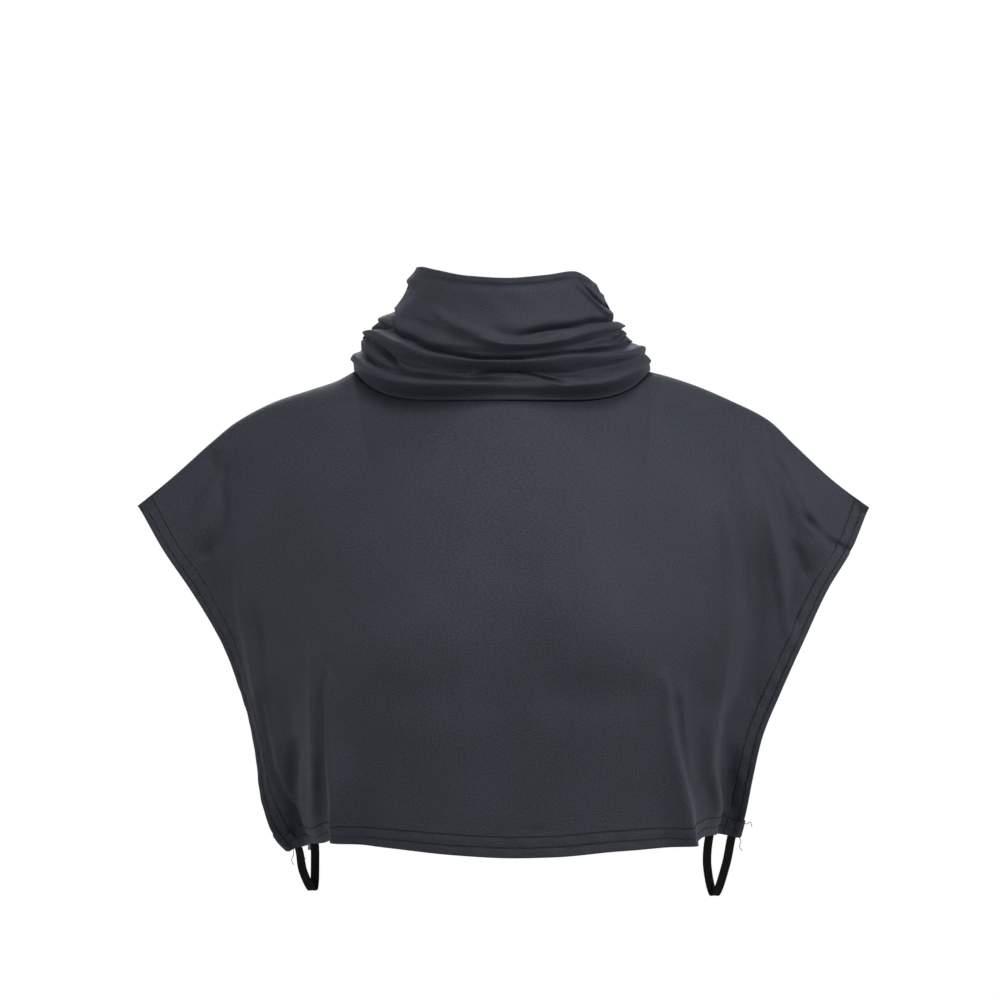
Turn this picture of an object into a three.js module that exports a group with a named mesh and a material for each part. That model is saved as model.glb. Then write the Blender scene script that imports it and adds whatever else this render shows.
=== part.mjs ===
// A detachable collar: a sleeveless turtleneck dickey in stretch jersey, in the form that it has when it is worn.
//
// Millimetres, +Z up, the front faces -Y. Left and right are as seen from the front, so left is -X. The origin is
// the middle of the neck base, on the level where the collar is sewn to the shoulders.
// Each cloth piece is a wall that is worked out from a few sections: a panel from its top line down to its hem, the
// collar from its sewn base up to its folded rim. Folds are rows of short tables.

import * as THREE from 'three';

// Cloth and elastic
const CLOTH = 1.5;
const TWO_LAYERS = 2.4;
const GAP = 0.3;
const HEM_DEPTH = 17;
const ARMHOLE_HEM_DEPTH = 13.5;
const HEM_STEP = 1.2;
const ELASTIC_WIDTH = 6;
const ELASTIC_THICKNESS = 1.2;
const SEWN_LENGTH = 8;
const SEWN_INSET = 3.6;
const SEWN_CLEARANCE = 0.5;
const SEWN_STEP = 0.02;
const SEAM_SHARE = 0.3;

// The seam where the collar joins the body, and the shoulder seams that run out from it
const NECK = { middle: 1.5, half: 107, sideZ: 1.5, frontDrop: 23.5, backRise: 3, backDip: 4 };
const SEAM_Y = 6.5;
const NECK_SHARE = 0.43;

// How round the body is between its armhole bands, at the crown and at the hem: a high bend is flat at the middle
const ROUND = { crown: 2.1, hem: 2.7, power: 0.85 };

// The armhole bands meet the body in a soft bend, evened out over this width
const EVEN_OUT = 7;

// Evening out of the sections' depths, as a share of the drop
const LEVEL_STEP = 0.05;

// Columns: the band's share of a panel in columns, and how soon below the top line they reach their own places
const BAND_COLUMNS = 4;
const SPREAD_SOON = 1.3;

// How much closer together the rows lie over the shoulder than at the hem
const ROW_BUNCHING = 0.45;

// Folds start below the shoulder seams, fade out beyond their ends and lean outwards near the armholes
const FOLD_START = 0.08;
const FOLD_END = 2.5;
const LEAN = { most: 0.85, fade: 12 };

// How the cloth turns over the shoulders: crest is how high the turn would reach in the middle of the neck opening,
// and the turn is done after near (at the middle) or far (out on the shoulder)
const FRONT_TURN = { crest: 5, near: 36, far: 100, width: 105 };
const BACK_TURN = { crest: 16, near: 14, far: 60, width: 150 };

// The level that the sections' drops are counted from, at the middle; it falls to the tips' own height at the edges
const CROWN = -12;
const CROWN_BEND = 2.6;

// The shoulder seams, from the neck (out 0) to the tip (out 1)
const SHOULDER = [
  { out: 0.0, left: 1.5, right: 1.5 },
  { out: 0.08, left: -5.5, right: -1.8 },
  { out: 0.2, left: -11.8, right: -8.2 },
  { out: 0.36, left: -20.0, right: -19.2 },
  { out: 0.54, left: -34.5, right: -33.6 },
  { out: 0.66, left: -49.5, right: -51.2 },
  { out: 0.83, left: -73.5, right: -76.3 },
  { out: 1.0, left: -96.5, right: -97.8 },
];

// Panel sections, from the top line (drop 0) to the hem (drop 1): where the armhole edges are, how deep the cloth
// lies at the middle and where the armhole bands begin, and how wide each band looks from straight ahead
const FRONT_SECTIONS = [
  { drop: 0.0, left: -261.5, right: 266.5, middle: -65, edge: 4, bandLeft: 12, bandRight: 12 },
  { drop: 0.12, left: -243.5, right: 253.8, middle: -83, edge: -12, bandLeft: 12, bandRight: 12.5 },
  { drop: 0.25, left: -220.3, right: 234.0, middle: -102, edge: -22, bandLeft: 11.5, bandRight: 13 },
  { drop: 0.4, left: -198.0, right: 216.5, middle: -119, edge: -30, bandLeft: 9.5, bandRight: 13 },
  { drop: 0.55, left: -183.5, right: 200.0, middle: -128, edge: -35, bandLeft: 6, bandRight: 13 },
  { drop: 0.7, left: -174.5, right: 185.8, middle: -129, edge: -35, bandLeft: 4.5, bandRight: 13 },
  { drop: 0.82, left: -171.5, right: 180.0, middle: -127, edge: -30, bandLeft: 6, bandRight: 12.5 },
  { drop: 0.92, left: -165.5, right: 176.0, middle: -125, edge: -22, bandLeft: 11, bandRight: 12 },
  { drop: 1.0, left: -152.5, right: 171.0, middle: -123, edge: -14, bandLeft: 12.5, bandRight: 12 },
];
const BACK_SECTIONS = [
  { drop: 0.0, left: -261.5, right: 266.5, middle: 78, edge: 9, bandLeft: 13, bandRight: 13 },
  { drop: 0.12, left: -238.0, right: 248.0, middle: 89, edge: 24, bandLeft: 13, bandRight: 13 },
  { drop: 0.25, left: -214.0, right: 229.0, middle: 97, edge: 36, bandLeft: 13, bandRight: 13 },
  { drop: 0.4, left: -192.0, right: 209.0, middle: 100, edge: 44, bandLeft: 13, bandRight: 13 },
  { drop: 0.55, left: -177.0, right: 192.0, middle: 98, edge: 49, bandLeft: 13, bandRight: 13 },
  { drop: 0.7, left: -166.0, right: 178.0, middle: 94, edge: 50, bandLeft: 13, bandRight: 13 },
  { drop: 0.85, left: -156.0, right: 168.0, middle: 90, edge: 47, bandLeft: 13, bandRight: 13 },
  { drop: 1.0, left: -140.0, right: 155.5, middle: 87, edge: 40, bandLeft: 13, bandRight: 13 },
];

// The hem's height across the panel, from the left corner (across -1) to the right one (across 1)
const FRONT_HEM = [
  { across: -1.0, z: -345.5 },
  { across: -0.93, z: -339 },
  { across: -0.88, z: -334.5 },
  { across: -0.79, z: -330.4 },
  { across: -0.51, z: -332.4 },
  { across: -0.27, z: -335 },
  { across: 0.0, z: -337 },
  { across: 0.19, z: -336.3 },
  { across: 0.43, z: -333.8 },
  { across: 0.76, z: -333 },
  { across: 0.82, z: -330 },
  { across: 0.9, z: -331 },
  { across: 1.0, z: -335 },
];
const BACK_HEM = [
  { across: -1.0, z: -338 },
  { across: -0.5, z: -331 },
  { across: 0.0, z: -330 },
  { across: 0.5, z: -331 },
  { across: 1.0, z: -335 },
];

// Folds of the panels, each from its top end (0) to its bottom end (1): bow is how far its middle lies to the right,
// w is its width and h its height, which is positive for a ridge and negative for a valley
const FRONT_FOLDS = [
  { name: 'left edge ridge', x0: -181, z0: -165, x1: -170, z1: -245, bow: 0, w0: 8, w1: 8, h0: 2, h1: 4 },
  { name: 'left side ridge', x0: -133, z0: -205, x1: -134, z1: -312, bow: 0, w0: 9, w1: 7, h0: 2, h1: 6 },
  { name: 'left pleat', x0: -118, z0: -215, x1: -122, z1: -350, bow: -3, w0: 12, w1: 7, h0: 1, h1: 12 },
  { name: 'left side valley', x0: -150, z0: -255, x1: -143, z1: -350, bow: 0, w0: 9, w1: 8, h0: -4, h1: -10 },
  { name: 'left shoulder valley', x0: -195, z0: -66, x1: -206, z1: -140, bow: 7, w0: 11, w1: 12, h0: -5, h1: -4 },
  { name: 'right shoulder ridge', x0: 197, z0: -58, x1: 226, z1: -118, bow: -3, w0: 8, w1: 9, h0: 4, h1: 4 },
  { name: 'right upper ridge', x0: 184, z0: -76, x1: 199, z1: -148, bow: 0, w0: 9, w1: 9, h0: 4, h1: 4 },
  { name: 'right long ridge', x0: 160, z0: -100, x1: 153, z1: -240, bow: 8, w0: 11, w1: 10, h0: 4, h1: 5 },
  { name: 'right side valley', x0: 178, z0: -150, x1: 170, z1: -240, bow: 3, w0: 10, w1: 10, h0: -4, h1: -4 },
  { name: 'right pleat', x0: 116, z0: -232, x1: 137, z1: -350, bow: -1, w0: 13, w1: 7, h0: 2, h1: 11 },
  { name: 'right inner ridge', x0: 150, z0: -258, x1: 156, z1: -310, bow: 0, w0: 7, w1: 6, h0: 3, h1: 4 },
  { name: 'right dark valley', x0: 166, z0: -262, x1: 162, z1: -345, bow: 0, w0: 9, w1: 9, h0: -5, h1: -9 },
];
const BACK_FOLDS = [
  { name: 'left flute', x0: -118, z0: -150, x1: -104, z1: -350, bow: -4, w0: 16, w1: 13, h0: 2, h1: 7 },
  { name: 'left hollow', x0: -92, z0: -170, x1: -78, z1: -350, bow: -3, w0: 15, w1: 12, h0: -1, h1: -5 },
  { name: 'right flute', x0: 122, z0: -140, x1: 112, z1: -350, bow: 5, w0: 16, w1: 13, h0: 2, h1: 7 },
  { name: 'right hollow', x0: 96, z0: -165, x1: 84, z1: -350, bow: 3, w0: 15, w1: 12, h0: -1, h1: -5 },
  { name: 'left shoulder valley', x0: -192, z0: -70, x1: -200, z1: -150, bow: 5, w0: 11, w1: 12, h0: -4, h1: -4 },
  { name: 'right shoulder valley', x0: 198, z0: -70, x1: 206, z1: -150, bow: -5, w0: 11, w1: 12, h0: -4, h1: -4 },
];

// The bust, under the front panel
const BUST = { spread: 74, z: -186, wide: 44, tall: 62, height: 9 };

// Collar sections, from the sewn base (rise 0) to the folded rim (rise 1)
const COLLAR_SECTIONS = [
  { rise: 0.0, left: -105.0, right: 108.0, front: -65.0, back: 78.0 },
  { rise: 0.1, left: -105.5, right: 107.0, front: -72.0, back: 82.5 },
  { rise: 0.24, left: -101.0, right: 102.0, front: -73.0, back: 82.0 },
  { rise: 0.34, left: -97.5, right: 96.5, front: -72.0, back: 79.0 },
  { rise: 0.45, left: -90.0, right: 90.5, front: -71.0, back: 75.0 },
  { rise: 0.6, left: -77.0, right: 83.5, front: -69.0, back: 69.0 },
  { rise: 0.75, left: -69.0, right: 78.5, front: -66.0, back: 63.0 },
  { rise: 0.9, left: -64.5, right: 73.5, front: -63.0, back: 57.0 },
  { rise: 1.0, left: -60.5, right: 70.0, front: -61.0, back: 54.0 },
];

// The rim's height round the neck: angle 0 is the front, 90 the right side
const COLLAR_RIM = [
  { angle: -90, z: 74.0 },
  { angle: -70, z: 73.0 },
  { angle: -50, z: 69.5 },
  { angle: -25, z: 64.5 },
  { angle: 0, z: 62.6 },
  { angle: 25, z: 65.0 },
  { angle: 48, z: 68.5 },
  { angle: 62, z: 65.5 },
  { angle: 74, z: 62.5 },
  { angle: 90, z: 61.5 },
  { angle: 135, z: 67.0 },
  { angle: 180, z: 69.5 },
  { angle: 225, z: 72.0 },
  { angle: 270, z: 74.0 },
];

// Creases of the collar: each line goes through [angle, rise] points, depth is how far it is tucked in, and lip is
// how far the cloth above hangs over it
const COLLAR_CREASES = [
  {
    name: 'main crease',
    line: [
      [-92, 0.35], [-66, 0.45], [-47, 0.435], [-20, 0.35], [0, 0.315], [32, 0.35], [47, 0.34], [73, 0.305], [92, 0.29],
    ],
    depth: 5, lip: 2.5, reach: 0.075,
  },
  {
    name: 'right upper crease',
    line: [[2, 0.58], [15, 0.54], [40, 0.555], [75, 0.56], [92, 0.55]],
    depth: 4, lip: 2, reach: 0.06,
  },
  {
    name: 'right top crease',
    line: [[58, 0.84], [76, 0.87], [92, 0.9]],
    depth: 3, lip: 1, reach: 0.06,
  },
  {
    name: 'left roll crease',
    line: [[-92, 0.17], [-55, 0.16], [-23, 0.15], [-2, 0.17], [12, 0.16], [24, 0.06]],
    depth: 3.5, lip: 1.5, reach: 0.06,
  },
  {
    name: 'right roll crease',
    line: [[-2, 0.23], [12, 0.21], [30, 0.17], [48, 0.19]],
    depth: 3, lip: 1, reach: 0.05,
  },
  {
    name: 'left fan crease',
    line: [[-92, 0.58], [-78, 0.56], [-62, 0.5]],
    depth: 3, lip: 1, reach: 0.05,
  },
  {
    name: 'back low crease',
    line: [[88, 0.2], [130, 0.17], [180, 0.15], [230, 0.16], [272, 0.18]],
    depth: 3.5, lip: 1.5, reach: 0.06,
  },
  {
    name: 'back main crease',
    line: [[88, 0.32], [125, 0.4], [180, 0.36], [235, 0.41], [272, 0.36]],
    depth: 5, lip: 2, reach: 0.075,
  },
  {
    name: 'back upper crease',
    line: [[88, 0.56], [130, 0.6], [165, 0.62]],
    depth: 3.5, lip: 1.5, reach: 0.06,
  },
  {
    name: 'back left crease',
    line: [[205, 0.66], [240, 0.62], [272, 0.58]],
    depth: 3, lip: 1, reach: 0.06,
  },
];

// Creases fade towards the ends of their lines over an angle, run wider below the tuck than above it, and leave the
// collar's base and rim as they are
const CREASE = { fade: 16, start: 0.35, below: 1.4, above: 0.9, ends: 0.06 };

// The rise at which the collar is free of the neck seam, and its radius at the side seams
const COLLAR_FREE = 0.12;
const COLLAR_RADIUS = 60;

// The loops of elastic: where the free part hangs, between the front corner and the back corner
const LOOPS = [
  { name: 'elastic_loop_left', side: -1, bottom: { x: -137.5, y: 12, z: -371.5 }, sink: 15 },
  { name: 'elastic_loop_right', side: 1, bottom: { x: 155, y: 18, z: -374 }, sink: 18 },
];

// How a loop hangs: the drop of its ends below the hem, the share of the way to the bottom that each leg has come
// where it has sunk, and the share of its length over which it turns flat
const HANG = { start: 2, inwards: 0.35, across: 0.3, turning: 0.35, steps: 26 };

const radians = (degrees) => (degrees * Math.PI) / 180;
const mix = (a, b, share) => a + (b - a) * share;
const clamp = (value) => Math.min(1, Math.max(0, value));
const smooth = (value) => clamp(value) ** 2 * (3 - 2 * clamp(value));
const bell = (distance, width) => Math.exp(-((distance / width) ** 2));

// A smooth curve through a table's rows that never swings past them: the value of one column at a place in another.
function through(rows, key, column, place) {
  const last = rows.length - 1;
  const at = THREE.MathUtils.clamp(place, rows[0][key], rows[last][key]);
  let k = 0;
  while (k < last - 1 && at > rows[k + 1][key]) k += 1;
  const step = (i) => rows[i + 1][key] - rows[i][key];
  const slope = (i) => (rows[i + 1][column] - rows[i][column]) / step(i);
  const tangent = (i) => {
    if (i === 0) return slope(0);
    if (i === last) return slope(last - 1);
    const [before, after] = [slope(i - 1), slope(i)];
    return before * after <= 0 ? 0 : (2 * before * after) / (before + after);
  };
  const t = (at - rows[k][key]) / step(k);
  const [a, b] = [rows[k][column], rows[k + 1][column]];
  const [ta, tb] = [tangent(k) * step(k), tangent(k + 1) * step(k)];
  return a + t * ta + t ** 2 * (3 * (b - a) - 2 * ta - tb) + t ** 3 * (2 * (a - b) + ta + tb);
}

// A closed wall: outer and inner hold the same grid of points, rows by columns.
function wall(outer, inner) {
  const rows = outer.length;
  const columns = outer[0].length;
  const points = [...outer.flat(), ...inner.flat()];
  const out = (i, j) => i * columns + j;
  const back = (i, j) => rows * columns + out(i, j);
  const index = [];
  const quad = (a, b, c, d) => index.push(a, b, c, a, c, d);
  for (let i = 0; i < rows - 1; i += 1) {
    for (let j = 0; j < columns - 1; j += 1) {
      quad(out(i, j), out(i + 1, j), out(i + 1, j + 1), out(i, j + 1));
      quad(back(i, j), back(i, j + 1), back(i + 1, j + 1), back(i + 1, j));
    }
    quad(out(i + 1, 0), out(i, 0), back(i, 0), back(i + 1, 0));
    quad(out(i, columns - 1), out(i + 1, columns - 1), back(i + 1, columns - 1), back(i, columns - 1));
  }
  for (let j = 0; j < columns - 1; j += 1) {
    quad(out(0, j), out(0, j + 1), back(0, j + 1), back(0, j));
    quad(out(rows - 1, j + 1), out(rows - 1, j), back(rows - 1, j), back(rows - 1, j + 1));
  }
  const geometry = new THREE.BufferGeometry().setFromPoints(points);
  geometry.setIndex(index);
  return geometry;
}

// The direction square to a grid of points at one of them.
function squareTo(grid, i, j) {
  const up = grid[Math.max(i - 1, 0)][j];
  const down = grid[Math.min(i + 1, grid.length - 1)][j];
  const left = grid[i][Math.max(j - 1, 0)];
  const right = grid[i][Math.min(j + 1, grid[0].length - 1)];
  const along = new THREE.Vector3().subVectors(down, up);
  const across = new THREE.Vector3().subVectors(right, left);
  return along.cross(across).normalize();
}

// The height of the shoulder seam at a place across the body, and of its smooth run over the neck opening.
function crestZ(x, panel) {
  const away = Math.abs(x - NECK.middle);
  if (away < NECK.half) return NECK.sideZ + panel.turn.crest * (1 - (away / NECK.half) ** 2);
  const side = x < NECK.middle ? 'left' : 'right';
  const long = Math.abs(panel.sections[0][side] - NECK.middle) - NECK.half;
  return through(SHOULDER, 'out', side, (away - NECK.half) / long);
}

// How far the cloth at a place has turned down from the shoulders, from 0 on their crest to 1 on the body.
function turned(x, z, panel) {
  const { near, far, width } = panel.turn;
  const reach = mix(near, far, smooth(Math.abs(x - NECK.middle) / width));
  const share = clamp((crestZ(x, panel) - z) / reach);
  return Math.sqrt(Math.sin((share * Math.PI) / 2));
}

// One body panel. facing is -1 for the front and 1 for the back, and a place on it has across, from -1 at the left
// armhole to 1 at the right one, and drop, from 0 at the top line to 1 at the hem.
class Panel {
  constructor({ facing, sections, turn, hem, folds, columns, rows }) {
    Object.assign(this, { facing, sections, turn, hem, folds, columns, rows });
  }

  section(drop, column) {
    return through(this.sections, 'drop', column, drop);
  }

  // A depth at a drop, evened out over the sections beside it
  depth(drop, column) {
    const near = Math.min(LEVEL_STEP, drop, 1 - drop);
    const at = (place) => this.section(place, column);
    return (at(drop - near) + 2 * at(drop) + at(drop + near)) / 4;
  }

  // The shoulder seams and the neck seam between them, as x and z
  topLine(across) {
    const out = (Math.abs(across) - NECK_SHARE) / (1 - NECK_SHARE);
    const side = Math.sign(across) || 1;
    if (out >= 0) {
      const tip = this.sections[0][side < 0 ? 'left' : 'right'];
      const x = mix(NECK.middle + side * NECK.half, tip, out);
      return { x, z: crestZ(x, this) };
    }
    return this.neckLine(radians((across / NECK_SHARE) * 90));
  }

  // The neck seam at an angle from this panel's middle, 90 degrees at the right shoulder, as x and z
  neckLine(angle) {
    const side = Math.abs(Math.sin(angle));
    const front = -NECK.frontDrop * (1 - side ** 6);
    const back = NECK.backRise * (1 - side ** 3) - NECK.backDip * Math.sin(2 * angle) ** 2;
    const z = NECK.sideZ + (this.facing < 0 ? front : back);
    return { x: NECK.middle + NECK.half * Math.sin(angle), z };
  }

  at(across, drop) {
    const top = this.topLine(across);
    const [left, right] = [this.section(drop, 'left'), this.section(drop, 'right')];
    const first = this.sections[0];
    const topPlace = (2 * top.x - first.left - first.right) / (first.right - first.left);
    const half = (right - left) / 2;
    const place = mix(topPlace, this.hemPlace(across, drop, half), smooth(drop * SPREAD_SOON));
    const x = mix(left, right, (place + 1) / 2);
    const hemZ = through(this.hem, 'across', 'z', across);
    const z = mix(top.z, hemZ, drop);
    const tipZ = SHOULDER.at(-1)[across < 0 ? 'left' : 'right'];
    const crown = mix(CROWN, tipZ, Math.abs(place) ** CROWN_BEND);
    const level = clamp((crown - z) / (crown - hemZ));
    let deep = this.evenDepth(place, level, half);
    if (this.facing < 0) deep -= this.bust(x, z);
    const y = mix(SEAM_Y, deep, turned(x, z, this)) + (this.facing * GAP) / 2;
    const lean = LEAN.most * place ** 3 * smooth((1 - Math.abs(place)) * LEAN.fade);
    const lift = this.fold(x, z) * smooth(drop / FOLD_START);
    return new THREE.Vector3(x + lean * lift, y + this.facing * Math.sqrt(1 - lean ** 2) * lift, z);
  }

  // How deep the cloth lies at a place, evened out over the cloth beside it
  evenDepth(place, level, half) {
    const step = EVEN_OUT / half;
    const at = (k) => this.plainDepth(THREE.MathUtils.clamp(place + k * step, -1, 1), level, half);
    return (at(-1) + 2 * at(-0.5) + 3 * at(0) + 2 * at(0.5) + at(1)) / 9;
  }

  // The body is round between the armhole bands. A band that looks narrower than it is runs back by the rest.
  plainDepth(place, level, half) {
    const band = this.section(level, place < 0 ? 'bandLeft' : 'bandRight');
    const [edge, middle] = [this.depth(level, 'edge'), this.depth(level, 'middle')];
    const inner = 1 - band / half;
    const share = Math.min(1, Math.abs(place) / inner);
    const round = (1 - share ** mix(ROUND.crown, ROUND.hem, level)) ** ROUND.power;
    const onBand = Math.max(0, (Math.abs(place) - inner) / (1 - inner));
    const back = Math.sqrt(ARMHOLE_HEM_DEPTH ** 2 - band ** 2);
    return mix(edge, middle, round) - this.facing * back * onBand;
  }

  // The last columns keep to the armhole band
  hemPlace(across, drop, half) {
    const side = Math.sign(across) || 1;
    const band = this.section(drop, side < 0 ? 'bandLeft' : 'bandRight') / half;
    const inner = 1 - this.bandShare();
    if (Math.abs(across) <= inner) return (across / inner) * (1 - band);
    return side * (1 - (band * (1 - Math.abs(across))) / this.bandShare());
  }

  bandShare() {
    return BAND_COLUMNS / this.columns;
  }

  bust(x, z) {
    const cups = bell(x - BUST.spread, BUST.wide) + bell(x + BUST.spread, BUST.wide);
    return BUST.height * Math.min(1, cups) * bell(z - BUST.z, BUST.tall);
  }

  fold(x, z) {
    let sum = 0;
    for (const f of this.folds) {
      const share = (f.z0 - z) / (f.z0 - f.z1);
      const t = clamp(share);
      const middle = mix(f.x0, f.x1, t) + 4 * f.bow * t * (1 - t);
      const beyond = (share - t) * (f.z0 - f.z1);
      const width = mix(f.w0, f.w1, t);
      sum += mix(f.h0, f.h1, t) * bell(x - middle, width) * bell(beyond, FOLD_END * width);
    }
    return sum;
  }

  // Drops of the rows: close together over the shoulder, even below it, with a step at the hem's inner edge
  drops() {
    const long = NECK.sideZ - through(this.hem, 'across', 'z', 0);
    const band = 1 - HEM_DEPTH / long;
    const plain = this.rows - 3;
    const even = (k) => mix(k / plain, (k / plain) ** 2, ROW_BUNCHING) * band;
    return [...Array(plain + 1).keys()].map(even).concat([band + HEM_STEP / long, (1 + band) / 2, 1]);
  }

  acrosses() {
    const share = this.bandShare();
    const inner = 1 - share;
    const plain = this.columns - 6;
    const middle = [...Array(plain + 1).keys()].map((k) => mix(-inner, inner, k / plain));
    const bands = [inner + (share * HEM_STEP) / ARMHOLE_HEM_DEPTH, (1 + inner) / 2, 1];
    return [...bands.map((b) => -b).reverse(), ...middle, ...bands];
  }

  thickness(across, drop) {
    const drops = this.drops();
    const inHem = drop > drops[drops.length - 4] + 1e-6;
    const inArmhole = Math.abs(across) > 1 - this.bandShare() + 1e-6;
    return inHem || inArmhole ? TWO_LAYERS : CLOTH;
  }

  grids() {
    const [drops, acrosses] = [this.drops(), this.acrosses()];
    const outer = drops.map((drop) => acrosses.map((across) => this.at(across, drop)));
    const inner = outer.map((row, i) => row.map((point, j) => this.inside(outer, i, j, acrosses[j], drops[i])));
    return { outer, inner };
  }

  // The inner face lies square to the outer one, but straight under it along the seams, where two pieces meet
  inside(outer, i, j, across, drop) {
    const away = squareTo(outer, i, j).multiplyScalar(this.facing < 0 ? 1 : -1);
    if (i === 0) away.set(0, 0, 1);
    const point = outer[i][j].clone().addScaledVector(away, -this.thickness(across, drop));
    const seam = SEAM_Y + (this.facing * GAP) / 2;
    const past = (point.y - seam) * this.facing < 0;
    if (past && drop < SEAM_SHARE) point.y = seam;
    return point;
  }

  geometry() {
    const { outer, inner } = this.grids();
    return this.facing < 0 ? wall(outer, inner) : wall(inner, outer);
  }
}

// The collar's cloth at an angle (0 at the front, 90 at the right) and a rise from its base, which stands on the
// panels' neck edges, to its rim.
function collarAt(angle, rise) {
  const turn = radians(angle);
  const panel = Math.cos(turn) >= 0 ? front : back;
  const across = (Math.asin(Math.sin(turn)) / (Math.PI / 2)) * NECK_SHARE;
  const base = panel.at(across, 0);
  const rim = through(COLLAR_RIM, 'angle', 'z', angle);
  const part = (column) => through(COLLAR_SECTIONS, 'rise', column, rise);
  const tuck = creasesAt(angle, rise);
  const half = (part('right') - part('left')) / 2 - tuck.depth;
  const deep = (part('back') - part('front')) / 2 - tuck.depth;
  const x = (part('right') + part('left')) / 2 + half * Math.sin(turn);
  const y = (part('back') + part('front')) / 2 - deep * Math.cos(turn);
  const free = smooth(rise / COLLAR_FREE);
  return new THREE.Vector3(mix(base.x, x, free), mix(base.y, y, free), mix(base.z + GAP, rim, rise) - tuck.lip);
}

// How far the creases tuck the collar in at a place, and how far the lip above one hangs down.
function creasesAt(angle, rise) {
  let [depth, lip] = [0, 0];
  for (const crease of COLLAR_CREASES) {
    const line = crease.line.map(([a, r]) => ({ a, r }));
    const [start, end] = [line[0].a, line[line.length - 1].a];
    const inside = Math.min(angle - start, end - angle);
    const fade = smooth(inside / CREASE.fade + CREASE.start);
    const away = rise - through(line, 'a', 'r', angle);
    const near = crease.reach * (away < 0 ? CREASE.below : CREASE.above);
    depth += crease.depth * fade * bell(away, near);
    lip += crease.lip * fade * bell(away - crease.reach, crease.reach);
  }
  const ends = smooth(rise / CREASE.ends) * smooth((1 - rise) / CREASE.ends);
  return { depth: depth * ends, lip: lip * ends };
}

// One half of the collar, between the side seams at two angles.
function collarHalf(from, to, columns, rows) {
  const seam = THREE.MathUtils.radToDeg(GAP / 2 / COLLAR_RADIUS);
  const outer = [];
  for (let i = 0; i <= rows; i += 1) {
    const row = [];
    for (let j = 0; j <= columns; j += 1) {
      row.push(collarAt(mix(from + seam, to - seam, j / columns), 1 - i / rows));
    }
    outer.push(row);
  }
  const inner = outer.map((row, i) => row.map((point, j) => {
    const away = squareTo(outer, i, j);
    if (j === 0 || j === columns) away.setY(0);
    if (i === 0 || i === rows) away.setZ(0);
    return point.clone().addScaledVector(away.normalize(), -TWO_LAYERS);
  }));
  return wall(outer, inner);
}

// Where a loop's end is sewn: inside a panel's corner, on the inner face of its hem, with the strap's own width
// turned along the cloth.
function sewnEnd(panel, side) {
  const across = side * (1 - (panel.bandShare() * SEWN_INSET) / ARMHOLE_HEM_DEPTH);
  const [corner, above] = [panel.at(across, 1), panel.at(across, 1 - SEWN_STEP)];
  const beside = panel.at(across - side * SEWN_STEP, 1);
  const up = above.clone().sub(corner).normalize();
  const away = up.clone().cross(beside.clone().sub(corner)).normalize();
  if (away.y * panel.facing > 0) away.negate();
  const wide = new THREE.Vector3().crossVectors(up, away).normalize();
  if (wide.x < 0) wide.negate();
  const depth = TWO_LAYERS + SEWN_CLEARANCE + ELASTIC_THICKNESS / 2;
  const onFace = (height) => corner.clone().addScaledVector(up, height).addScaledVector(away, depth);
  return { top: onFace(SEWN_LENGTH), edge: onFace(-HANG.start), wide };
}

// A loop of elastic: a flat strap sewn inside the front corner, which hangs in a U and is sewn inside the back one.
function loopGeometry({ side, bottom, sink }, front, back) {
  const [start, end] = [sewnEnd(front, side), sewnEnd(back, side)];
  const low = new THREE.Vector3(bottom.x, bottom.y, bottom.z);
  const down = (from) => new THREE.Vector3(
    mix(from.x, low.x, HANG.inwards),
    mix(from.y, low.y, HANG.across),
    from.z - sink,
  );
  const path = new THREE.CatmullRomCurve3(
    [start.top, start.edge, down(start.edge), low, down(end.edge), end.edge, end.top],
    false,
    'centripetal',
  );
  const [near, far] = [[], []];
  for (let k = 0; k <= HANG.steps; k += 1) {
    const share = k / HANG.steps;
    const point = path.getPointAt(share);
    const tangent = path.getTangentAt(share);
    const wide = new THREE.Vector3(1, 0, 0).lerp(start.wide, 1 - smooth(share / HANG.turning));
    wide.lerp(end.wide, smooth((share - 1 + HANG.turning) / HANG.turning));
    const flat = new THREE.Vector3().crossVectors(wide, tangent).normalize();
    wide.crossVectors(tangent, flat).normalize();
    const edge = (acrossShare, throughShare) => point
      .clone()
      .addScaledVector(wide, acrossShare * ELASTIC_WIDTH)
      .addScaledVector(flat, throughShare * ELASTIC_THICKNESS);
    near.push([edge(-0.5, 0.5), edge(0, 0.5), edge(0.5, 0.5)]);
    far.push([edge(-0.5, -0.5), edge(0, -0.5), edge(0.5, -0.5)]);
  }
  return wall(near, far);
}

// Turns a wall's faces outwards where its grid ran the other way.
function facingOut(geometry) {
  const position = geometry.getAttribute('position');
  const index = geometry.getIndex().array;
  const corner = (k) => new THREE.Vector3().fromBufferAttribute(position, index[k]);
  let volume = 0;
  for (let k = 0; k < index.length; k += 3) volume += corner(k).dot(corner(k + 1).cross(corner(k + 2)));
  if (volume > 0) return geometry;
  for (let k = 0; k < index.length; k += 3) [index[k], index[k + 1]] = [index[k + 1], index[k]];
  return geometry;
}

const JERSEY = { color: 0x3a3c44, roughness: 0.78, metalness: 0 };
const ELASTIC = { color: 0x161814, roughness: 0.7, metalness: 0 };

function piece(name, geometry, look) {
  const closed = facingOut(geometry);
  closed.computeVertexNormals();
  const mesh = new THREE.Mesh(closed, new THREE.MeshStandardMaterial(look));
  mesh.name = name;
  return mesh;
}

const front = new Panel({
  facing: -1, sections: FRONT_SECTIONS, turn: FRONT_TURN, hem: FRONT_HEM, folds: FRONT_FOLDS, columns: 44, rows: 22,
});
const back = new Panel({
  facing: 1, sections: BACK_SECTIONS, turn: BACK_TURN, hem: BACK_HEM, folds: BACK_FOLDS, columns: 34, rows: 18,
});

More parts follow.
